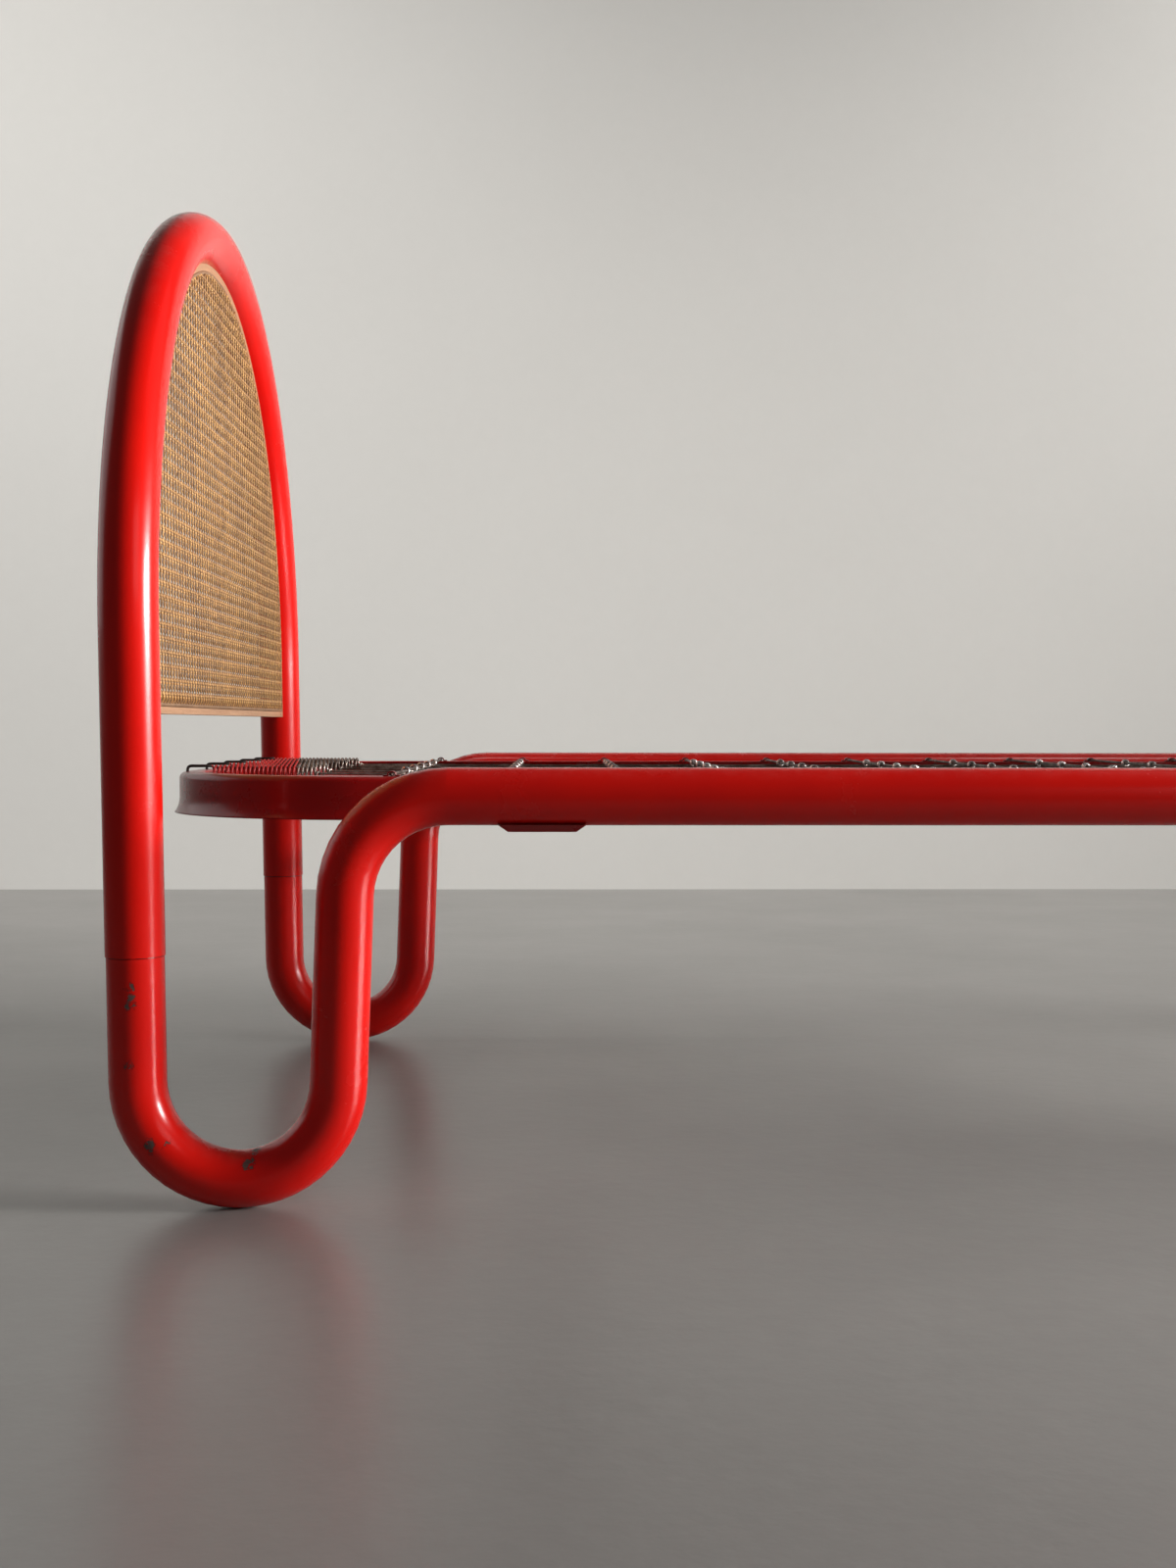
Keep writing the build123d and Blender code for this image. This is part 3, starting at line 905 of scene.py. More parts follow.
@dataclass
class CanePanel:
    """One arch's woven cane with the reed bead that holds it in its groove."""

    end: End
    springing: float
    arch_radius: float = 0.43
    panel_bottom: float = 0.428
    groove_outer: float = 0.0323
    groove_inner: float = 0.0367
    bottom_wood: float = 0.0065
    groove_width: float = 0.0044
    seat: float = 0.007
    sheet: float = 0.0016
    pitch: float = 0.0127
    pair_gap: float = 0.0015
    strand_width: float = 0.0021
    strand_depth: float = 0.0009
    slanting_width: float = 0.0026
    tuck: float = 0.0012
    seed: int = 7
    longest: float = 1.3
    upright_pairs: int = 34
    level_pairs: int = 60
    slanting_strands: int = 80
    halvings: int = 14
    weave_lift: float = 0.55
    slanting_lift: float = 0.85
    lift_jitter: float = 0.00003
    side_jitter: float = 0.00012
    width_range: tuple[float, float] = (0.9, 1.08)
    grain_shift: float = 40.0
    bead_share: float = 0.43
    bead_crown: float = 0.0011
    bead_sunk: float = 0.0001
    bead_depth: float = 0.0032

    def __post_init__(self) -> None:
        """Work out the panel's plane and opening."""
        self.radius = self.arch_radius - self.groove_inner
        self.bottom = self.panel_bottom + self.bottom_wood + self.groove_width
        self.plane = ArchPlane.of(self.end, self.bottom, self.seat + self.sheet)
        self.random = np.random.default_rng(self.seed)

    def inside(self, across: Array, up: Array) -> Array:
        """Which points of the plane lie in the panel's opening or just past its groove's edge."""
        above = np.maximum(up - self.springing, 0.0)
        wide = np.hypot(across, above) <= self.radius + self.tuck
        return wide & (up >= self.bottom - self.tuck)

    def strand(self, stock: Stock, point: Array, kind: StrandSet, wave: Array) -> None:
        """Lay one strand across the opening.

        Args:
            stock: Where its skin goes.
            point: Any point of its line, across and up.
            kind: Which set it belongs to.
            wave: Four heights for one repeat of the weave, from the line's crossing with a pair.
        """
        way = unit(np.array(kind.value))
        side = np.array((-way[1], way[0]))
        step = self.pitch * (math.sqrt(2) if kind.slanting else 1.0) / 4
        reach = int(self.longest / step)
        marks = np.arange(-reach, reach + 1)
        line = point + marks[:, None] * step * way
        kept = self.inside(line[:, 0], line[:, 1])
        if kept.sum() < 3:
            return
        marks = marks[kept]
        line = line[kept]
        ends = [self.edge(line[0], -way, step), self.edge(line[-1], way, step)]
        height = wave[marks % 4] + self.random.normal(0.0, self.lift_jitter, len(marks))
        height = np.concatenate(((-self.strand_depth,), height, (-self.strand_depth,)))
        line = np.concatenate((ends[:1], line, ends[1:]))
        places = (0, len(line) / 2, len(line))
        shifts = self.random.normal(0.0, self.side_jitter, len(places))
        drift = np.interp(np.arange(len(line)), places, shifts)
        line = line + drift[:, None] * side
        centre = self.plane.at(line[:, 0], line[:, 1], self.seat + self.sheet / 2 + height)
        width = self.slanting_width if kind.slanting else self.strand_width
        width *= self.random.uniform(*self.width_range)
        profile = np.array(((-0.5, -0.1), (-0.27, 0.5), (0.27, 0.5), (0.5, -0.1), (0.0, -0.5)))
        across, ahead = (v[0] * ACROSS + v[1] * self.plane.rise for v in (side, way))
        flip = math.copysign(1.0, np.cross(across, self.plane.normal) @ ahead)
        section = profile * (flip * width, self.strand_depth)
        rings = ringed(centre, section, across, self.plane.normal)
        stock.rings(rings, self.random.uniform(0.0, self.grain_shift) + travel(centre))

    def edge(self, start: Array, way: Array, step: float) -> Array:
        """Find the opening's edge by halving.

        Args:
            start: A point inside the opening, across and up.
            way: Towards the edge.
            step: A distance that is past the edge.

        Returns:
            The last point inside.
        """
        low, high = 0.0, step
        for _ in range(self.halvings):
            middle = (low + high) / 2
            if self.inside(*(start + middle * way)):
                low = middle
            else:
                high = middle
        return start + low * way

    def lines(self, kind: StrandSet) -> list[tuple[Array, Array]]:
        """Where the strands of one set run, with each one's weave.

        Args:
            kind: Which set.

        Returns:
            A point on each line, and its heights.
        """
        p, g = self.pitch, self.pair_gap
        low = self.weave_lift * self.strand_depth * np.array((1.0, 0.0, -1.0, 0.0))
        far = self.slanting_lift * self.strand_depth * np.array((-1.0, 0.0, 1.0, 0.0))
        middle = self.bottom + p / 2
        found = []
        if kind is StrandSet.UPRIGHTS:
            for k in range(-self.upright_pairs, self.upright_pairs + 1):
                for s in (-1, 1):
                    found.append((np.array((k * p + s * g, middle - g)), s * low))
        elif kind is StrandSet.LEVELS:
            for k in range(self.level_pairs):
                for s in (-1, 1):
                    found.append((np.array((0.0, middle + k * p + s * g)), -s * low))
        else:
            sign = 1.0 if kind is StrandSet.RISING else -1.0
            for k in range(-self.slanting_strands, self.slanting_strands + 1):
                found.append((np.array(((k + 0.5) * p, middle)), sign * far))
        return found

    def weave(self, material: Material, painted_shade: Material) -> None:
        """Weave the four sets of strands, one piece for each.

        Args:
            material: The level and upright strands' finish.
            painted_shade: The cane finish darkened as painted shade, for the strands that run across
                the holes.
        """
        for kind in StrandSet:
            stock = Stock()
            for point, wave in self.lines(kind):
                self.strand(stock, point, kind, wave)
            name = f"{self.end.value}_cane_{kind.name.lower()}"
            # The slanting strands get the darker cane: painted shade, not a different cane.
            piece = stock.piece(name, [painted_shade if kind.slanting else material])
            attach(piece, self.end.body)
        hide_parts(f"{self.end.value}_cane_sheet")

    def bead_section(self) -> Array:
        """Round-topped section of the reed bead: across the groove, and out of the plane."""
        half = self.bead_share * self.groove_width
        turn = np.linspace(0.0, math.pi, 7)
        top = self.bead_crown * np.sin(turn) - self.bead_sunk
        crown = np.stack((half * np.cos(turn), top), axis=-1)
        return np.concatenate((crown, ((-half, -self.bead_depth), (half, -self.bead_depth))))

    def bead(self, material: Material) -> None:
        """Lay the reed bead in its groove, round the arch and along the bottom.

        Args:
            material: The reed's finish.
        """
        middle = self.arch_radius - (self.groove_outer + self.groove_inner) / 2
        base = self.panel_bottom + self.bottom_wood + self.groove_width / 2
        first = math.asin(max(0.0, base - self.springing) / middle)
        turn = np.linspace(first, math.pi - first, 90)
        across = middle * np.cos(turn)
        up = self.springing + middle * np.sin(turn)
        if base < self.springing:
            foot = np.linspace(base, self.springing, 12)[:-1]
            edge = np.full_like(foot, middle)
            across = np.concatenate((edge, across, -edge))
            up = np.concatenate((foot, up, foot[::-1]))
        stock = Stock()
        level = np.linspace(across[0], across[-1], 40)
        for wide, high in ((across, up), (level, np.array(base))):
            path = self.plane.at(wide, high, np.array(self.seat))
            aside = np.cross(self.plane.normal, unit(np.gradient(path, axis=0)))
            rings = ringed(path, self.bead_section(), aside, self.plane.normal)
            stock.rings(rings, travel(path))
        made = stock.piece(f"{self.end.value}_cane_bead", [material])
        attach(made, self.end.body)
        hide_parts(f"{self.end.value}_cane_spline")


# ------------------------------------------------------------------ sprung base
@dataclass
class SprungNet:
    """The wire net in the base: springs at both ends, linked wires, cross wires and hook tabs."""

    stations: int = 15
    rows: int = 5
    wire_radius: float = 0.0015
    link_radius: float = 0.00135
    spring_wire_radius: float = 0.0012
    coil_radius: float = 0.0058
    coil_rise: float = 0.0016
    hook_radius: float = 0.00145
    coil_pitch: float = 0.0043
    cone_length: float = 0.007
    hook_inset: float = 0.012
    hook_rise: float = 0.0058
    coil_start: float = 0.036
    coil_length: float = 0.106
    eye_radius: float = 0.0031
    seed: int = 11
    wire_bow: float = 0.0006
    tab_reach: float = 0.02
    eye_drop: float = 0.0004
    link_sag: float = 0.0008
    link_gap: float = 0.004
    link_offset: float = 1.4
    eye_drift: float = 2.1
    rim_flare: float = 0.005
    cone_turns: float = 1.25
    hook_drop: float = 0.006
    hook_flat: float = 0.012
    hook_bend: float = 0.0042
    stem_drop: float = 0.0002
    tab_sheet: float = 0.0014
    tab_edge: float = 0.0004
    tab_arch: float = 0.0036
    tab_toe: float = 0.0052
    tab_tip: float = 0.0078
    tab_squareness: float = 0.8

    def __post_init__(self) -> None:
        """Read the net's places from the frame."""
        low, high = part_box("cross_wires")
        self.random = np.random.default_rng(self.seed)
        self.first = low.x + self.wire_radius
        self.step = (high.x - low.x - 2 * self.wire_radius) / (self.stations - 1)
        self.half_width = high.y
        self.cross_z = (low.z + high.z) / 2
        self.line_z = self.cross_z - self.eye_radius
        self.rim_top = low.z
        self.row_y = [
            sum((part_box(f"net_line_{i}")[k].y for k in (0, 1))) / 2 for i in range(1, self.rows + 1)
        ]

    def station(self, index: int) -> float:
        """X of a cross wire."""
        return self.first + index * self.step

    def cross_wires(self, material: Material) -> None:
        """Draw the wires across the base, each a little bowed by the pull of the net.

        Args:
            material: The wire's finish.
        """
        stock = Stock()
        section = round_section(self.wire_radius)
        y = np.linspace(-self.half_width, self.half_width, 61)
        z = self.cross_z - self.wire_bow * np.cos(0.5 * math.pi * y / self.half_width)
        for i in range(self.stations):
            phase = self.random.uniform(0, 6)
            bow = self.wire_bow * np.sin(3 * math.pi * y / self.half_width + phase)
            bow[np.abs(y) > self.half_width - self.tab_reach] = 0.0
            sweep(stock, points(self.station(i) + bow, y, z), section, np.array((1.0, 0.0, 0.0)))
        made = stock.piece("net_cross_wires", [material])
        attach(made, "frame")
        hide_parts("cross_wires")

    def eye(self, x: float, y: float, way: float) -> Array:
        """A loop round a cross wire, from under it and back to nearly under it.

        Args:
            x: The cross wire's X.
            y: The loop's middle.
            way: +1 when the link arrives from -X, -1 from +X.

        Returns:
            The loop's points.
        """
        turn = np.linspace(-0.5 * math.pi, 1.32 * math.pi, 22)
        drift = np.linspace(0.0, self.eye_drift * self.link_radius, 22)
        return points(
            x + way * self.eye_radius * np.cos(turn),
            y + drift,
            self.cross_z - self.eye_drop + self.eye_radius * np.sin(turn),
        )

    def links(self, row: int, materials: Sequence[Material]) -> None:
        """Draw one row of links, with an eye at each of their ends.

        Args:
            row: The row's number, from 1.
            materials: The wire's and the eyes' finishes.
        """
        stock = Stock()
        section = round_section(self.link_radius, 8)
        run = np.linspace(self.link_gap, self.step - self.link_gap, 12)
        z = self.line_z - self.eye_drop - self.link_sag * np.sin(math.pi * run / self.step)
        for i in range(self.stations - 1):
            y = self.row_y[row - 1] + (-1) ** i * self.link_offset * self.link_radius
            here = self.station(i)
            left = self.eye(here, y, -1.0)
            right = self.eye(self.station(i + 1), y, 1.0)
            body = np.concatenate((left[:1], points(here + run, y, z), right[:1]))
            for finish, path in ((1, left), (1, right), (0, body)):
                sweep(stock, path, section, finish=finish)
        made = stock.piece(f"net_links_{row}", materials)
        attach(made, "frame")
        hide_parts(f"net_line_{row}")

    def spring_path(self, end: End, row: int) -> tuple[Array, Array, Array]:
        """Centre lines of one spring's hook, of its turns and stem, and of the eye on the stem.

        Args:
            end: Which end of the base.
            row: The row's number, from 1.

        Returns:
            The hook's, the spring's and the eye's points.
        """
        y = self.row_y[row - 1]
        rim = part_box("base_rim")
        head = end is End.HEAD
        face = (rim[0].x + self.rim_flare) if head else (rim[1].x - self.rim_flare)
        wire = self.station(0 if head else self.stations - 1)
        axis = self.line_z + self.coil_rise
        hole = self.hook_inset
        crest = self.rim_top + self.hook_rise
        bends = (
            (hole, 0.0, self.rim_top - self.hook_drop),
            (hole, 0.0, crest),
            (hole + self.hook_flat, 0.0, crest),
            (self.coil_start, 0.0, axis + self.coil_radius),
        )
        hook = softened(bends, self.hook_bend, 7)
        turns = (self.coil_length - self.cone_length) / self.coil_pitch
        wound = np.linspace(0.0, turns, int(turns * 20))
        closing = np.linspace(0.0, self.cone_turns, 28)[1:]
        share = np.concatenate((0.0 * wound, closing / self.cone_turns))
        phase = 2 * math.pi * np.concatenate((wound, turns + closing))
        radius = self.coil_radius * (1 - share) ** 1.2
        reach = np.minimum(phase / (2 * math.pi), turns) * self.coil_pitch
        coil = points(
            self.coil_start + reach + share * self.cone_length,
            radius * np.sin(phase),
            axis - self.coil_rise * share + radius * np.cos(phase),
        )
        run = np.linspace(coil[-1, 0] + self.link_gap, abs(wire - face), 10)
        stem = points(run, 0.0, self.line_z - self.stem_drop)
        body = np.concatenate((hook[-2:-1], coil, stem))
        hook, body = (
            points(face - end.outward * path[:, 0], y + path[:, 1], path[:, 2])
            for path in (hook, body)
        )
        return hook, body, self.eye(wire, y, -end.outward)

    def spring(self, end: End, row: int, materials: Sequence[Material]) -> None:
        """Wind one end spring.

        Args:
            end: Which end of the base.
            row: The row's number, from 1.
            materials: The spring's, the eyes' and the hook's finishes.
        """
        stock = Stock()
        radii = (self.hook_radius, self.spring_wire_radius, self.spring_wire_radius)
        for finish, radius, path in zip((2, 0, 1), radii, self.spring_path(end, row)):
            sweep(stock, path, round_section(radius, 8), finish=finish)
        made = stock.piece(f"{end.value}_coil_{row}", materials)
        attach(made, "frame")
        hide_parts(f"{end.value}_spring_{row}")

    def tabs(self, side: str, material: Material) -> None:
        """Press the half-round tabs that hold the cross wires on one side of the rim.

        Args:
            side: "left" or "right".
            material: The pressed sheet's finish.
        """
        low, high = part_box(f"{side}_hook_tabs")
        y = (low.y + high.y) / 2
        wide = (high.y - low.y) / 2
        thick = self.tab_sheet / 2
        rise = high.z - self.rim_top - self.tab_sheet
        flat, upright = wide - self.tab_edge, thick - self.tab_edge
        upper = np.array(((-wide, upright), (-flat, thick), (flat, thick), (wide, upright)))
        section = np.concatenate(((-upper[-1:]), upper, -upper[:-1]))
        turn = np.linspace(math.pi, 0.0, 15)
        legs = np.array((self.tab_toe, self.tab_tip))
        run = np.concatenate((-legs[::-1], self.tab_arch * np.cos(turn), legs))
        climb = np.concatenate(((0.0, 0.0), rise * np.sin(turn) ** self.tab_squareness, (0.0, 0.0)))
        stock = Stock()
        for i in range(self.stations):
            path = points(self.station(i) + run, y, self.rim_top + thick + climb)
            sweep(stock, path, section)
        made = stock.piece(f"net_tabs_{side}", [material])
        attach(made, "frame")
        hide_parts(f"{side}_hook_tabs")

    def build(
        self,
        wire: Material,
        eye: Material,
        spring: Material,
        hook: Material,
        sheet: Material,
    ) -> None:
        """Build the whole net.

        Args:
            wire: Finish of the wires.
            eye: Finish of the eyes.
            spring: Finish of the springs.
            hook: Finish of the springs' hooks.
            sheet: Finish of the tabs.
        """
        self.cross_wires(wire)
        for row in range(1, self.rows + 1):
            self.links(row, [wire, eye])
            for end in End:
                self.spring(end, row, [spring, eye, hook])
        for side in ("left", "right"):
            self.tabs(side, sheet)


@dataclass
class PressedRim:
    """The base's rim: one pressed sheet with a rounded shoulder, a flange and a flared lip."""

    corner_radius: float = 0.2
    flare: float = 0.005
    flare_height: float = 0.017
    shoulder: float = 0.006
    flange: float = 0.024
    sheet: float = 0.0016
    corner_steps: int = 40

    def outline(self) -> tuple[Array, Array]:
        """The wall's outer face seen from above.

        Returns:
            The outline's points, and the outward direction at each.
        """
        low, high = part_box("base_rim")
        middle = (low.x + high.x) / 2
        long_half = (high.x - low.x) / 2 - self.flare - self.corner_radius
        wide_half = (high.y - low.y) / 2 - self.flare - self.corner_radius
        outline, ways = [], []
        for quarter, (sx, sy) in enumerate(((1, 1), (-1, 1), (-1, -1), (1, -1))):
            turn = (quarter + np.linspace(0.0, 1.0, self.corner_steps)) * math.pi / 2
            way = np.stack((np.cos(turn), np.sin(turn), 0 * turn), axis=-1)
            centre = np.array((middle + sx * long_half, sy * wide_half, 0.0))
            outline.append(centre + self.corner_radius * way)
            ways.append(way)
        return np.concatenate(outline), np.concatenate(ways)

    def profile(self) -> Array:
        """The sheet's section: out from the wall's outer face, and down from the rim's top.

        Returns:
            The closed section's points.
        """
        low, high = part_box("base_rim")
        height = high.z - low.z
        turn = np.linspace(math.pi / 2, 0.0, 9)
        bend = self.shoulder * np.stack((np.cos(turn) - 1.0, np.sin(turn) - 1.0), axis=-1)
        drop = np.linspace(0.0, 1.0, 12)
        lip = np.stack(
            (
                self.flare * (0.25 * drop**1.5 + 0.75 * drop**3),
                -(height - self.flare_height) - self.flare_height * drop,
            ),
            axis=-1,
        )
        flat = np.linspace(-self.flange, -self.shoulder, 4)[:-1]
        outer = np.concatenate((np.stack((flat, 0 * flat), axis=-1), bend, lip))
        steps = unit(np.gradient(outer, axis=0))
        inward = np.stack((steps[:, 1], -steps[:, 0]), axis=-1)
        inner = (outer + self.sheet * inward)[::-1]
        inner[0, 1] = outer[-1, 1]
        return np.concatenate((outer, inner))

    def build(self, material: Material) -> None:
        """Press the rim.

        Args:
            material: The pressed sheet's finish.
        """
        outline, ways = self.outline()
        section = self.profile() + (0.0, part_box("base_rim")[1].z)
        stock = Stock()
        stock.rings(ringed(outline, section, ways, UP), travel(outline), loop=True)
        made = stock.piece("pressed_rim", [material])
        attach(made, "frame")
        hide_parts("base_rim")


# ------------------------------------------------------------------ surroundings
@dataclass
class Studio:
    """Floor, backdrop, lights and camera."""

    floor_reach: float = 9.0
    wall_y: float = 2.68
    wall_height: float = 5.0
    camera_place: tuple[float, float, float] = (-0.5856, -2.0375, 0.4188)
    camera_turn: float = -0.0152
    camera_dip: float = 0.0320
    camera_roll: float = -0.0011
    lens: float = 42.76

    def plane(self, name: str, corners: Sequence[Sequence[float]], finish: Finish) -> None:
        """Lay one flat surface of the surroundings.

        Args:
            name: Its name.
            corners: Its four corners, counter-clockwise from its front.
            finish: Its finish.
        """
        mesh = bpy.data.meshes.new(name)
        mesh.from_pydata(list(corners), [], [(0, 1, 2, 3)])
        mesh.materials.append(finish.make())
        made = bpy.data.objects.new(name, mesh)
        bpy.context.scene.collection.objects.link(made)

    def surfaces(self) -> None:
        """Lay the floor and stand the backdrop."""
        r = self.floor_reach
        w = self.wall_y
        grey, deep_grey = (0.27, 0.26, 0.25, 1.0), (0.19, 0.185, 0.175, 1.0)
        pale, deep_pale = (0.74, 0.73, 0.70, 1.0), (0.66, 0.65, 0.62, 1.0)
        floor = Ground("pale_floor", grey, deep_grey, rough=0.22, scale=1.1)
        wall = Ground("pale_wall", pale, deep_pale, rough=0.7, scale=0.8, one_sided=True)
        self.plane("floor", ((-r, -r, 0.0), (r, -r, 0.0), (r, r, 0.0), (-r, r, 0.0)), floor)
        h = self.wall_height
        self.plane("backdrop", ((-r, w, 0.0), (r, w, 0.0), (r, w, h), (-r, w, h)), wall)

    def lamp(
        self,
        name: str,
        place: Sequence[float],
        aim: Sequence[float],
        size: Sequence[float],
        power: float,
        tint: Sequence[float] = (1.0, 1.0, 1.0),
        spread: float = math.pi,
    ) -> None:
        """Hang one soft lamp.

        Args:
            name: Its name.
            place: Where it hangs.
            aim: Where it points.
            size: Its two sides.
            power: Its power in watts.
            tint: Its colour.
            spread: How wide its beam is.
        """
        data = bpy.data.lights.new(name, "AREA")
        data.shape = "RECTANGLE"
        data.size, data.size_y = size
        data.energy = power
        data.color = tint
        data.spread = spread
        made = bpy.data.objects.new(name, data)
        made.location = place
        made.rotation_mode = "QUATERNION"
        made.rotation_quaternion = (Vector(aim) - Vector(place)).to_track_quat("-Z", "Y")
        bpy.context.scene.collection.objects.link(made)

    def lights(self) -> None:
        """Hang the lamps and set the room's even light."""
        day = (1.0, 0.985, 0.965)
        self.lamp("window", (4.3, -0.7, 1.35), (-0.7, -0.3, 0.6), (1.9, 1.1), 108.0, day, 1.35)
        self.lamp("front", (3.0, -4.4, 2.6), (-0.3, 0.0, 0.4), (2.2, 2.2), 18.0)
        self.lamp("fill", (-3.8, 1.1, 1.7), (-0.6, 0.0, 0.4), (2.6, 2.2), 14.0)
        self.lamp("ceiling", (2.3, 0.3, 3.9), (-0.2, 0.0, 0.0), (3.4, 2.4), 5.0)
        for name, x, power in (("wall_left", -1.0, 27.0), ("wall_right", 1.0, 42.0)):
            place, aim = (2.4 * x, 0.9, 4.2), (2.0 * x, self.wall_y, 1.0)
            self.lamp(name, place, aim, (3.4, 0.6), power, day, 1.3)
        world = bpy.context.scene.world or bpy.data.worlds.new("room")
        bpy.context.scene.world = world
        world.use_nodes = True
        background = next(n for n in world.node_tree.nodes if n.bl_idname == "ShaderNodeBackground")
        background.inputs[0].default_value = (0.80, 0.79, 0.77, 1.0)
        background.inputs[1].default_value = 0.08

    def camera(self) -> None:
        """Set up the camera."""
        data = bpy.data.cameras.new("view")
        data.lens = self.lens
        data.sensor_width = 36.0
        made = bpy.data.objects.new("view", data)
        turn = (
            Matrix.Rotation(self.camera_turn, 3, "Z")
            @ Matrix.Rotation(-self.camera_dip, 3, "X")
            @ Matrix.Rotation(self.camera_roll, 3, "Y")
        )
        right, ahead, up = turn.col[0], turn.col[1], turn.col[2]
        basis = Matrix((right, up, -ahead)).transposed()
        made.matrix_world = Matrix.Translation(self.camera_place) @ basis.to_4x4()
        bpy.context.scene.collection.objects.link(made)
        bpy.context.scene.camera = made
        bpy.context.scene.view_settings.view_transform = "Standard"

    def build(self) -> None:
        """Build the surroundings."""
        self.surfaces()
        self.lights()
        self.camera()


# ------------------------------------------------------------------ the whole bed
RED: Colour = (0.72, 0.006, 0.002, 1.0)
DEEP_RED: Colour = (0.52, 0.002, 0.002, 1.0)
TARNISH: Colour = (0.07, 0.04, 0.03, 1.0)


def dress(names: Sequence[str], finish: Finish, nodes: dict[str, Piece]) -> None:
    """Give some of the frame's own solids a finish.

    Args:
        names: The solids' names.
        finish: The finish.
        nodes: All of the frame's solids.
    """
    material = finish.make()
    for name in names:
        for slot in nodes[name].material_slots:
            slot.material = material
        LOG.info("dressed %s in %s", name, finish.name)


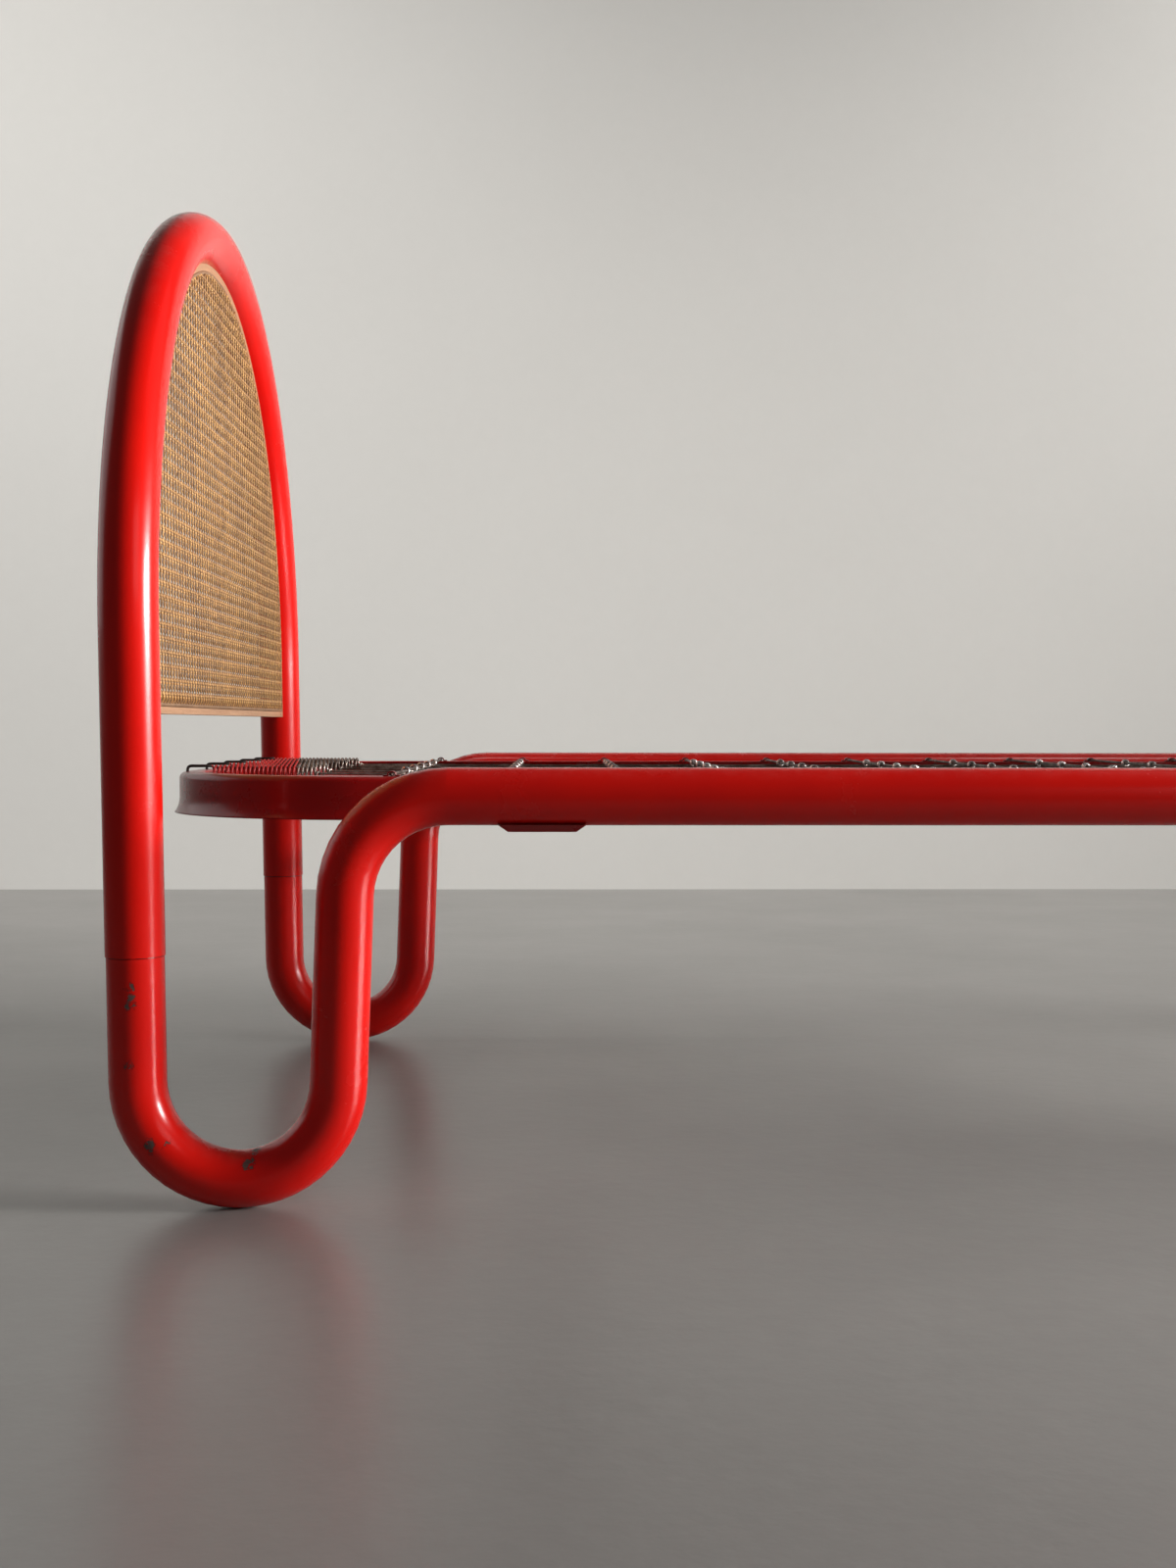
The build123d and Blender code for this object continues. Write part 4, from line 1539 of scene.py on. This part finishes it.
@dataclass
class Bed:
    """The bed: its solids dressed, and its cane and net built."""

    nodes: dict[str, Piece]
    head_springing: float = 0.4997
    foot_springing: float = 0.31

    def tubes(self) -> None:
        """Dress the side tubes, the arches and the sleeves."""
        knocks = (
            Knock((-0.951, -0.455, 0.194), 0.009),
            Knock((-0.951, -0.455, 0.187), 0.010),
            Knock((-0.951, -0.455, 0.179), 0.010),
            Knock((-0.952, -0.455, 0.128), 0.010, 0.9),
            Knock((-0.935, -0.452, 0.059), 0.012),
            Knock((-0.922, -0.449, 0.060), 0.010, 0.95),
            Knock((-0.847, -0.437, 0.052), 0.013, 0.9),
            Knock((-0.852, -0.449, 0.042), 0.012, 0.95),
            Knock((-0.905, 0.447, 0.030), 0.018),
            Knock((0.93, 0.448, 0.055), 0.02),
            Knock((0.86, -0.437, 0.052), 0.016, 0.8),
            Knock((0.952, -0.452, 0.150), 0.012),
        )
        enamel = Enamel(
            "red_tube_enamel", RED, DEEP_RED,
            smoothness=0.17, chips=0.35, dust=0.04, knocks=knocks,
        )
        tubes = ("left_side_tube", "right_side_tube", "head_arch_tube", "foot_arch_tube")
        dress(tubes, enamel, self.nodes)
        dull: Colour = (0.10, 0.09, 0.085, 1.0)
        sleeve = Metal("sleeve_steel", dull, TARNISH, age=0.35)
        spigots = [f"{e.value}_{s}_spigot" for e in End for s in ("left", "right")]
        dress(spigots, sleeve, self.nodes)

    def base(self) -> None:
        """Dress the rim and the cross members, and build the net."""
        knocks = (
            Knock((-0.833, -0.359, 0.3695), 0.008),
            Knock((-0.9637, 0.05, 0.369), 0.012),
            Knock((0.40, -0.36, 0.369), 0.012),
            Knock((-0.10, 0.36, 0.369), 0.012),
        )
        # Much darker than the tube enamel: partly the pressed parts' deeper red, partly painted shade
        # for the rim wall under the side rail.
        pressed = Enamel(
            "pressed_enamel_with_painted_shade", (0.34, 0.003, 0.003, 1.0), (0.20, 0.002, 0.002, 1.0),
            smoothness=0.2, chips=0.9, dust=0.12, knocks=knocks,
        )
        dress(("head_cross_member", "foot_cross_member"), pressed, self.nodes)
        PressedRim().build(pressed.make())
        wire = Metal("net_wire_steel", (0.42, 0.36, 0.32, 1.0), TARNISH, age=0.75)
        eye = Metal("net_eye_steel", (0.95, 0.90, 0.88, 1.0), (0.4, 0.33, 0.28, 1.0), age=0.0)
        spring = OversprayedMetal(
            "spring_steel_overspray", (0.55, 0.48, 0.43, 1.0), TARNISH, age=0.55,
            paint=(0.52, 0.01, 0.008, 1.0), deep=(0.30, 0.005, 0.005, 1.0),
            edge_x=0.8746, slant=0.1368,
        )
        hook = Metal("hook_black_wire", (0.05, 0.035, 0.03, 1.0), (0.02, 0.012, 0.01, 1.0), age=0.6)
        # Darker still than the rim's enamel: painted shade for the tabs' fronts.
        tab = Enamel(
            "tab_enamel_painted_shade", (0.15, 0.004, 0.004, 1.0), (0.08, 0.002, 0.002, 1.0),
            smoothness=0.25, chips=1.0, dust=0.3,
        )
        SprungNet().build(*(finish.make() for finish in (wire, eye, spring, hook, tab)))

    def panels(self) -> None:
        """Dress the wood and the fasteners, and weave the cane."""
        light: Colour = (0.44, 0.24, 0.125, 1.0)
        dark: Colour = (0.27, 0.13, 0.06, 1.0)
        polish = {"contrast": 0.7, "satin": 0.42, "coat": 0.1}
        rail = Fibre("rail_wood", light, dark, Grain.ACROSS_BED, **polish)
        dress([f"{e.value}_panel_bottom_rail" for e in End], rail, self.nodes)
        brown: Colour = (0.2, 0.18, 0.16, 1.0)
        steel = Metal("fastener_dark_steel", brown, TARNISH, age=0.9)
        dress([f"{e.value}_panel_{k}" for e in End for k in ("screws", "nails")], steel, self.nodes)
        cane = Fibre(
            "glossy_cane", (0.82, 0.46, 0.14, 1.0), (0.19, 0.078, 0.017, 1.0),
            Grain.ALONG_STRAND, contrast=1.0, satin=0.38, coat=0.15,
        ).make()
        # A darker copy of the same cane: painted shade for the slanting strands.
        painted_shade = Fibre(
            "painted_shade_cane", (0.30, 0.13, 0.03, 1.0), (0.09, 0.034, 0.007, 1.0),
            Grain.ALONG_STRAND, contrast=1.0, satin=0.42, coat=0.1,
        ).make()
        reed = Fibre(
            "dark_reed", (0.30, 0.17, 0.085, 1.0), (0.10, 0.05, 0.025, 1.0),
            Grain.ALONG_STRAND, contrast=0.8, satin=0.5,
        ).make()
        for end, springing in ((End.HEAD, self.head_springing), (End.FOOT, self.foot_springing)):
            centre = (0.0, 0.0, springing)
            name = f"{end.value}_lath_wood"
            lath = Fibre(name, light, dark, Grain.ROUND_ARCH, centre=centre, **polish)
            dress([f"{end.value}_panel_lath"], lath, self.nodes)
            panel = CanePanel(end, springing)
            panel.weave(cane, painted_shade)
            panel.bead(reed)

    def build(self) -> None:
        """Build and dress everything."""
        self.tubes()
        self.base()
        self.panels()


def corners(bounds: tuple[Vector, Vector]) -> list[list[float]]:
    """A box's two corners as plain lists."""
    return [[float(v) for v in corner] for corner in bounds]


def main() -> None:
    """Load the frame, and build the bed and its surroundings."""
    logging.basicConfig(level=logging.INFO, format="%(message)s")
    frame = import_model()
    Bed(frame["nodes"]).build()
    Studio().build()


if __name__ == "__main__":
    main()
